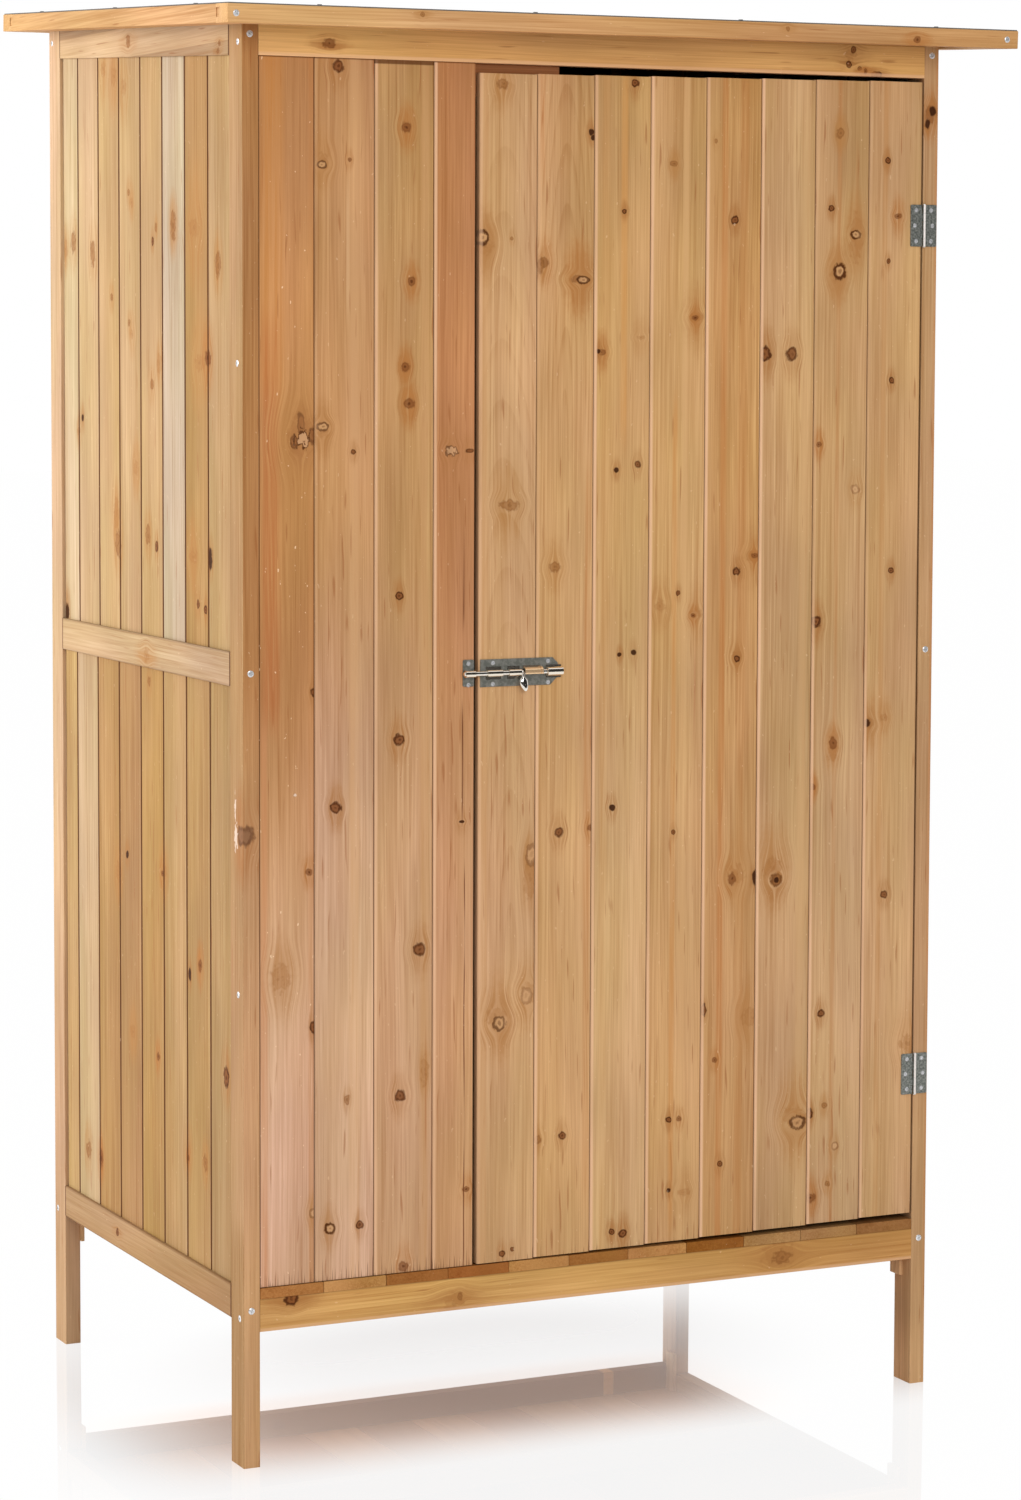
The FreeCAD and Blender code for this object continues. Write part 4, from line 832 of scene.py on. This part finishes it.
# The chrome is tinted a little warm, a painted reflection of the wood round it
chrome = metal("bolt_chrome", (240, 236, 228), (224, 218, 208), 0.09, 0.06, 0.02, 300)
pin_zinc = metal("hinge_pin", (240, 238, 234), (222, 220, 216), 0.3, 0.1, 0.05, 500, plating=0.35)
nail_steel = metal("nail_steel", (120, 118, 114), (88, 86, 84), 0.42, 0.2, 0.1, 900)
fittings = (
    (("roof_felt",), felt()),
    (("felt_nails",), nail_steel),
    (("roof_screws", "frame_screws", "frame_hardware_screws", "door_screws"), screw_plating()),
    (("upper_hinge_frame_leaf", "upper_hinge_door_leaf", "lower_hinge_frame_leaf",
      "lower_hinge_door_leaf"), hinge_plating()),
    (("hinge_pins",), pin_zinc),
    (("bolt_plate", "bolt_keeper"), bolt_plating()),
    (("bolt_rod",), chrome),
)
for names, material in fittings:
    for name in names:
        dress(name, material)


def add_section(mesh, ring, before, after):
    """Carries the last ring of a bar on to its next section and gives the new ring. Sections are
    (x, y, z, half width, half depth), in mm."""
    made = bmesh.ops.extrude_edge_only(mesh, edges=ring)["geom"]
    points = [part for part in made if isinstance(part, bmesh.types.BMVert)]
    centre = Vector(before[:3]) * mm
    widen = (after[3] / before[3], after[4] / before[4], 1.0)
    bmesh.ops.scale(mesh, vec=widen, space=Matrix.Translation(-centre), verts=points)
    bmesh.ops.translate(mesh, vec=Vector(after[:3]) * mm - centre, verts=points)
    return [part for part in made if isinstance(part, bmesh.types.BMEdge)]


def make_handle():
    """The bolt's hanging lever: a hub on the rod, a neck that turns between strap and sleeve, and a
    flat tongue that widens beyond them."""
    rod_low, rod_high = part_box("bolt_rod")
    old_low, old_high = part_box("bolt_handle")
    axis_y = (rod_low.y + rod_high.y) / 2 / mm
    axis_z = (rod_low.z + rod_high.z) / 2 / mm
    hub_x = (old_low.x + old_high.x) / 2 / mm
    hub_length, hub_radius, hub_bore = 4.7, 2.95, 1.6
    mesh = bmesh.new()
    wall = hub_radius - hub_bore
    profile = bmesh.ops.create_circle(mesh, cap_ends=False, segments=4, radius=1.0)
    bmesh.ops.rotate(mesh, verts=profile["verts"], matrix=Matrix.Rotation(math.radians(45), 3, "Z"))
    bmesh.ops.scale(mesh, verts=profile["verts"],
                    vec=(hub_length / math.sqrt(2) * mm, wall / math.sqrt(2) * mm, 1.0))
    bmesh.ops.translate(mesh, verts=profile["verts"],
                        vec=(hub_x * mm, (axis_y + hub_bore + wall / 2) * mm, axis_z * mm))
    bmesh.ops.spin(mesh, geom=mesh.verts[:] + mesh.edges[:], cent=(0, axis_y * mm, axis_z * mm),
                   axis=(1, 0, 0), angle=math.tau, steps=32, use_merge=True)

    # How far each section lies to the right of the hub, in front of the axis and below it, and its half
    # width and half depth
    profile_rows = [(0.0, 2.2, 0.6, 1.9, 1.0), (0.0, 2.9, 2.6, 1.9, 1.4), (0.0, 3.3, 5.6, 2.0, 1.7),
                    (0.0, 3.7, 7.2, 4.0, 1.9), (0.0, 3.9, 9.2, 5.1, 2.1), (0.3, 4.1, 12.4, 5.3, 2.2),
                    (0.8, 4.2, 15.4, 4.9, 2.1), (1.5, 4.3, 18.2, 3.8, 1.9), (2.1, 4.3, 20.4, 2.6, 1.6),
                    (2.3, 4.3, 21.6, 1.5, 1.1), (2.3, 4.3, 22.0, 0.5, 0.5)]
    sections = [(hub_x + right, axis_y - forward, axis_z - down, half_width, half_depth)
                for right, forward, down, half_width, half_depth in profile_rows]
    first = sections[0]
    circle = bmesh.ops.create_circle(mesh, cap_ends=True, segments=28, radius=mm)
    bmesh.ops.scale(mesh, vec=(first[3], first[4], 1.0), verts=circle["verts"])
    bmesh.ops.translate(mesh, vec=Vector(first[:3]) * mm, verts=circle["verts"])
    points = set(circle["verts"])
    ring = [edge for edge in mesh.edges if points.issuperset(edge.verts)]
    for before, after in zip(sections, sections[1:]):
        ring = add_section(mesh, ring, before, after)
    bmesh.ops.holes_fill(mesh, edges=ring)
    bmesh.ops.remove_doubles(mesh, verts=mesh.verts, dist=0.001 * mm)
    bmesh.ops.recalc_face_normals(mesh, faces=mesh.faces)
    for face in mesh.faces:
        face.smooth = True
    data = bpy.data.meshes.new("bolt_lever")
    mesh.to_mesh(data)
    mesh.free()
    lever = bpy.data.objects.new("bolt_lever", data)
    bpy.context.scene.collection.objects.link(lever)
    lever.data.materials.append(chrome)
    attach(lever, "bolt_handle")
    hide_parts("bolt_handle")


make_handle()


# Studio

white = (1.0, 1.0, 1.0, 1.0)
# The tint of the floor's painted reflection of the cabinet's underside
reflection_tint = (1.0, 0.82, 0.72, 1.0)


def make_floor():
    """A white glossy floor. The camera sees it brighter than it is lit, under the cabinet a warm patch
    that glows is a painted reflection and shadow of the cabinet's underside, and it mirrors the cabinet
    most clearly below its back edge, as paper that rises a little towards the back would. Distances are
    in metres from the cabinet's middle."""
    bpy.ops.mesh.primitive_plane_add(size=60)
    floor = bpy.context.active_object
    floor.name = "studio_floor"
    finish = Finish("studio_floor")
    light_path = finish.node("ShaderNodeLightPath", output="Is Camera Ray")
    seen = light_path.most(light_path.other("Is Glossy Ray"))
    place = finish.object_place()
    across = finish.node("ShaderNodeSeparateXYZ", None, [place], "X")
    behind = across.other("Y")
    away = finish.length(place * (1.0, 1.35, 0.0))
    fading = finish.ease(behind, -0.42, -0.19)
    # A painted reflection and shadow of the cabinet's underside: a warm patch under it, which glows
    underside_reflection = fading * finish.ease(behind, -0.02, -0.10)
    underside_reflection = underside_reflection * finish.ease(across, -0.62, -0.35) * finish.ease(across, 0.3, 0.1)
    tone = finish.mix(underside_reflection, paint(250, 240, 238), paint(214, 168, 136))
    ground = finish.node("ShaderNodeBsdfPrincipled", None,
                         {"Base Color": tone, "Roughness": 0.3, "Specular IOR Level": 0.2})
    glow = finish.node("ShaderNodeEmission", None, {"Color": white, "Strength": 1.0})
    underside_reflection_glow = finish.node("ShaderNodeEmission", None, {"Color": reflection_tint, "Strength": 1.25})
    glowing = finish.node("ShaderNodeMixShader", None, {0: underside_reflection, 1: glow, 2: underside_reflection_glow})
    share = seen * finish.ease(away, 0.2, 0.52, 0.66, 0.985) * finish.ease(underside_reflection, 0.0, 1.0, 1.0, 0.72)
    both = finish.node("ShaderNodeMixShader", None, {0: share, 1: ground, 2: glowing})

    clear = fading * finish.ease(behind, 0.36, -0.1, 0.08, 0.52)
    clear = clear * finish.ease(across, -0.62, -0.3, 0.3, 1.0)
    clear = (clear + 0.09) * finish.ease(across, -0.66, -0.5, 0.25, 1.0)
    clear = clear * finish.ease(away, 1.3, 0.95) * seen
    tipped = finish.vector(-0.011, -0.024, 1.0)
    mirror = finish.node("ShaderNodeBsdfGlossy", None,
                         {"Color": white, "Roughness": 0.015, "Normal": tipped})
    shiny = finish.node("ShaderNodeMixShader", None, {0: clear, 1: both, 2: mirror})
    finish.node("ShaderNodeOutputMaterial", None, [shiny])
    floor.data.materials.append(finish.material)


def area_light(name, place, target, width, height, power):
    lamp = bpy.data.lights.new(name, "AREA")
    lamp.shape = "RECTANGLE"
    lamp.size = width
    lamp.size_y = height
    lamp.energy = power
    lamp_object = bpy.data.objects.new(name, lamp)
    lamp_object.location = place
    lamp_object.rotation_euler = (Vector(target) - Vector(place)).to_track_quat("-Z", "Y").to_euler()
    bpy.context.scene.collection.objects.link(lamp_object)


def make_dark_card(name, middle, turn, width, height):
    """A dark card that only shiny metal sees, from its front."""
    bpy.ops.mesh.primitive_plane_add(size=1)
    card = bpy.context.active_object
    card.name = name
    card.data.transform(Matrix.Translation(middle) @ Matrix.Rotation(math.radians(turn), 4, "X")
                        @ Matrix.Diagonal((width, height, 1.0, 1.0)))
    card.visible_camera = False
    card.visible_diffuse = False
    card.visible_shadow = False
    finish = Finish(name)
    shade = finish.node("ShaderNodeEmission", None, {"Color": (0.03, 0.03, 0.03, 1.0), "Strength": 1.0})
    clear = finish.node("ShaderNodeBsdfTransparent")
    behind = finish.node("ShaderNodeNewGeometry", output="Backfacing")
    both = finish.node("ShaderNodeMixShader", None, {0: behind, 1: shade, 2: clear})
    finish.node("ShaderNodeOutputMaterial", None, [both])
    card.data.materials.append(finish.material)


def make_world():
    """A white room, which lights the cabinet less brightly than it shows."""
    world = bpy.data.worlds.new("studio")
    bpy.context.scene.world = world
    finish = Finish("studio", world)
    path = finish.node("ShaderNodeLightPath", output="Is Camera Ray")
    direct = path.most(path.other("Is Glossy Ray"))
    soft = finish.node("ShaderNodeBackground", None, {"Color": white, "Strength": 0.62})
    bright = finish.node("ShaderNodeBackground", None, {"Color": white, "Strength": 1.0})
    both = finish.node("ShaderNodeMixShader", None, {0: direct, 1: soft, 2: bright})
    finish.node("ShaderNodeOutputWorld", None, [both])


def make_camera():
    """The photograph's own view: a long lens from the left, looking slightly down."""
    image_height = 1500
    focal_pixels = 3977.4
    principal_row = 634.3
    camera = bpy.data.cameras.new("photo_camera")
    camera.sensor_width = 36
    camera.lens = focal_pixels * camera.sensor_width / image_height
    camera.shift_y = (principal_row - image_height / 2) / image_height
    camera_object = bpy.data.objects.new("photo_camera", camera)
    place = Matrix.Translation((-2.1021, -4.4527, 1.2925))
    turn = Matrix.Rotation(math.radians(-25.49), 4, "Z")
    tip = Matrix.Rotation(math.radians(90 - 4.38), 4, "X")
    roll = Matrix.Rotation(math.radians(0.2), 4, "Z")
    camera_object.matrix_world = place @ turn @ tip @ roll
    bpy.context.scene.collection.objects.link(camera_object)
    bpy.context.scene.camera = camera_object


make_floor()
make_world()
area_light("left_softbox", (-4.2, 1.4, 1.9), target=(0, 0, 0.9), width=2.6, height=2.6, power=135)
area_light("front_softbox", (-0.6, -5.2, 2.6), target=(0, 0, 0.8), width=3.0, height=2.4, power=100)
make_dark_card("studio_wall", middle=(2.5, -9.0, 7.0), turn=-90, width=30.0, height=13.9)
make_dark_card("studio_mat", middle=(2.5, -6.2, 0.01), turn=0, width=30.0, height=5.6)
make_camera()
bpy.context.scene.view_settings.view_transform = "Standard"
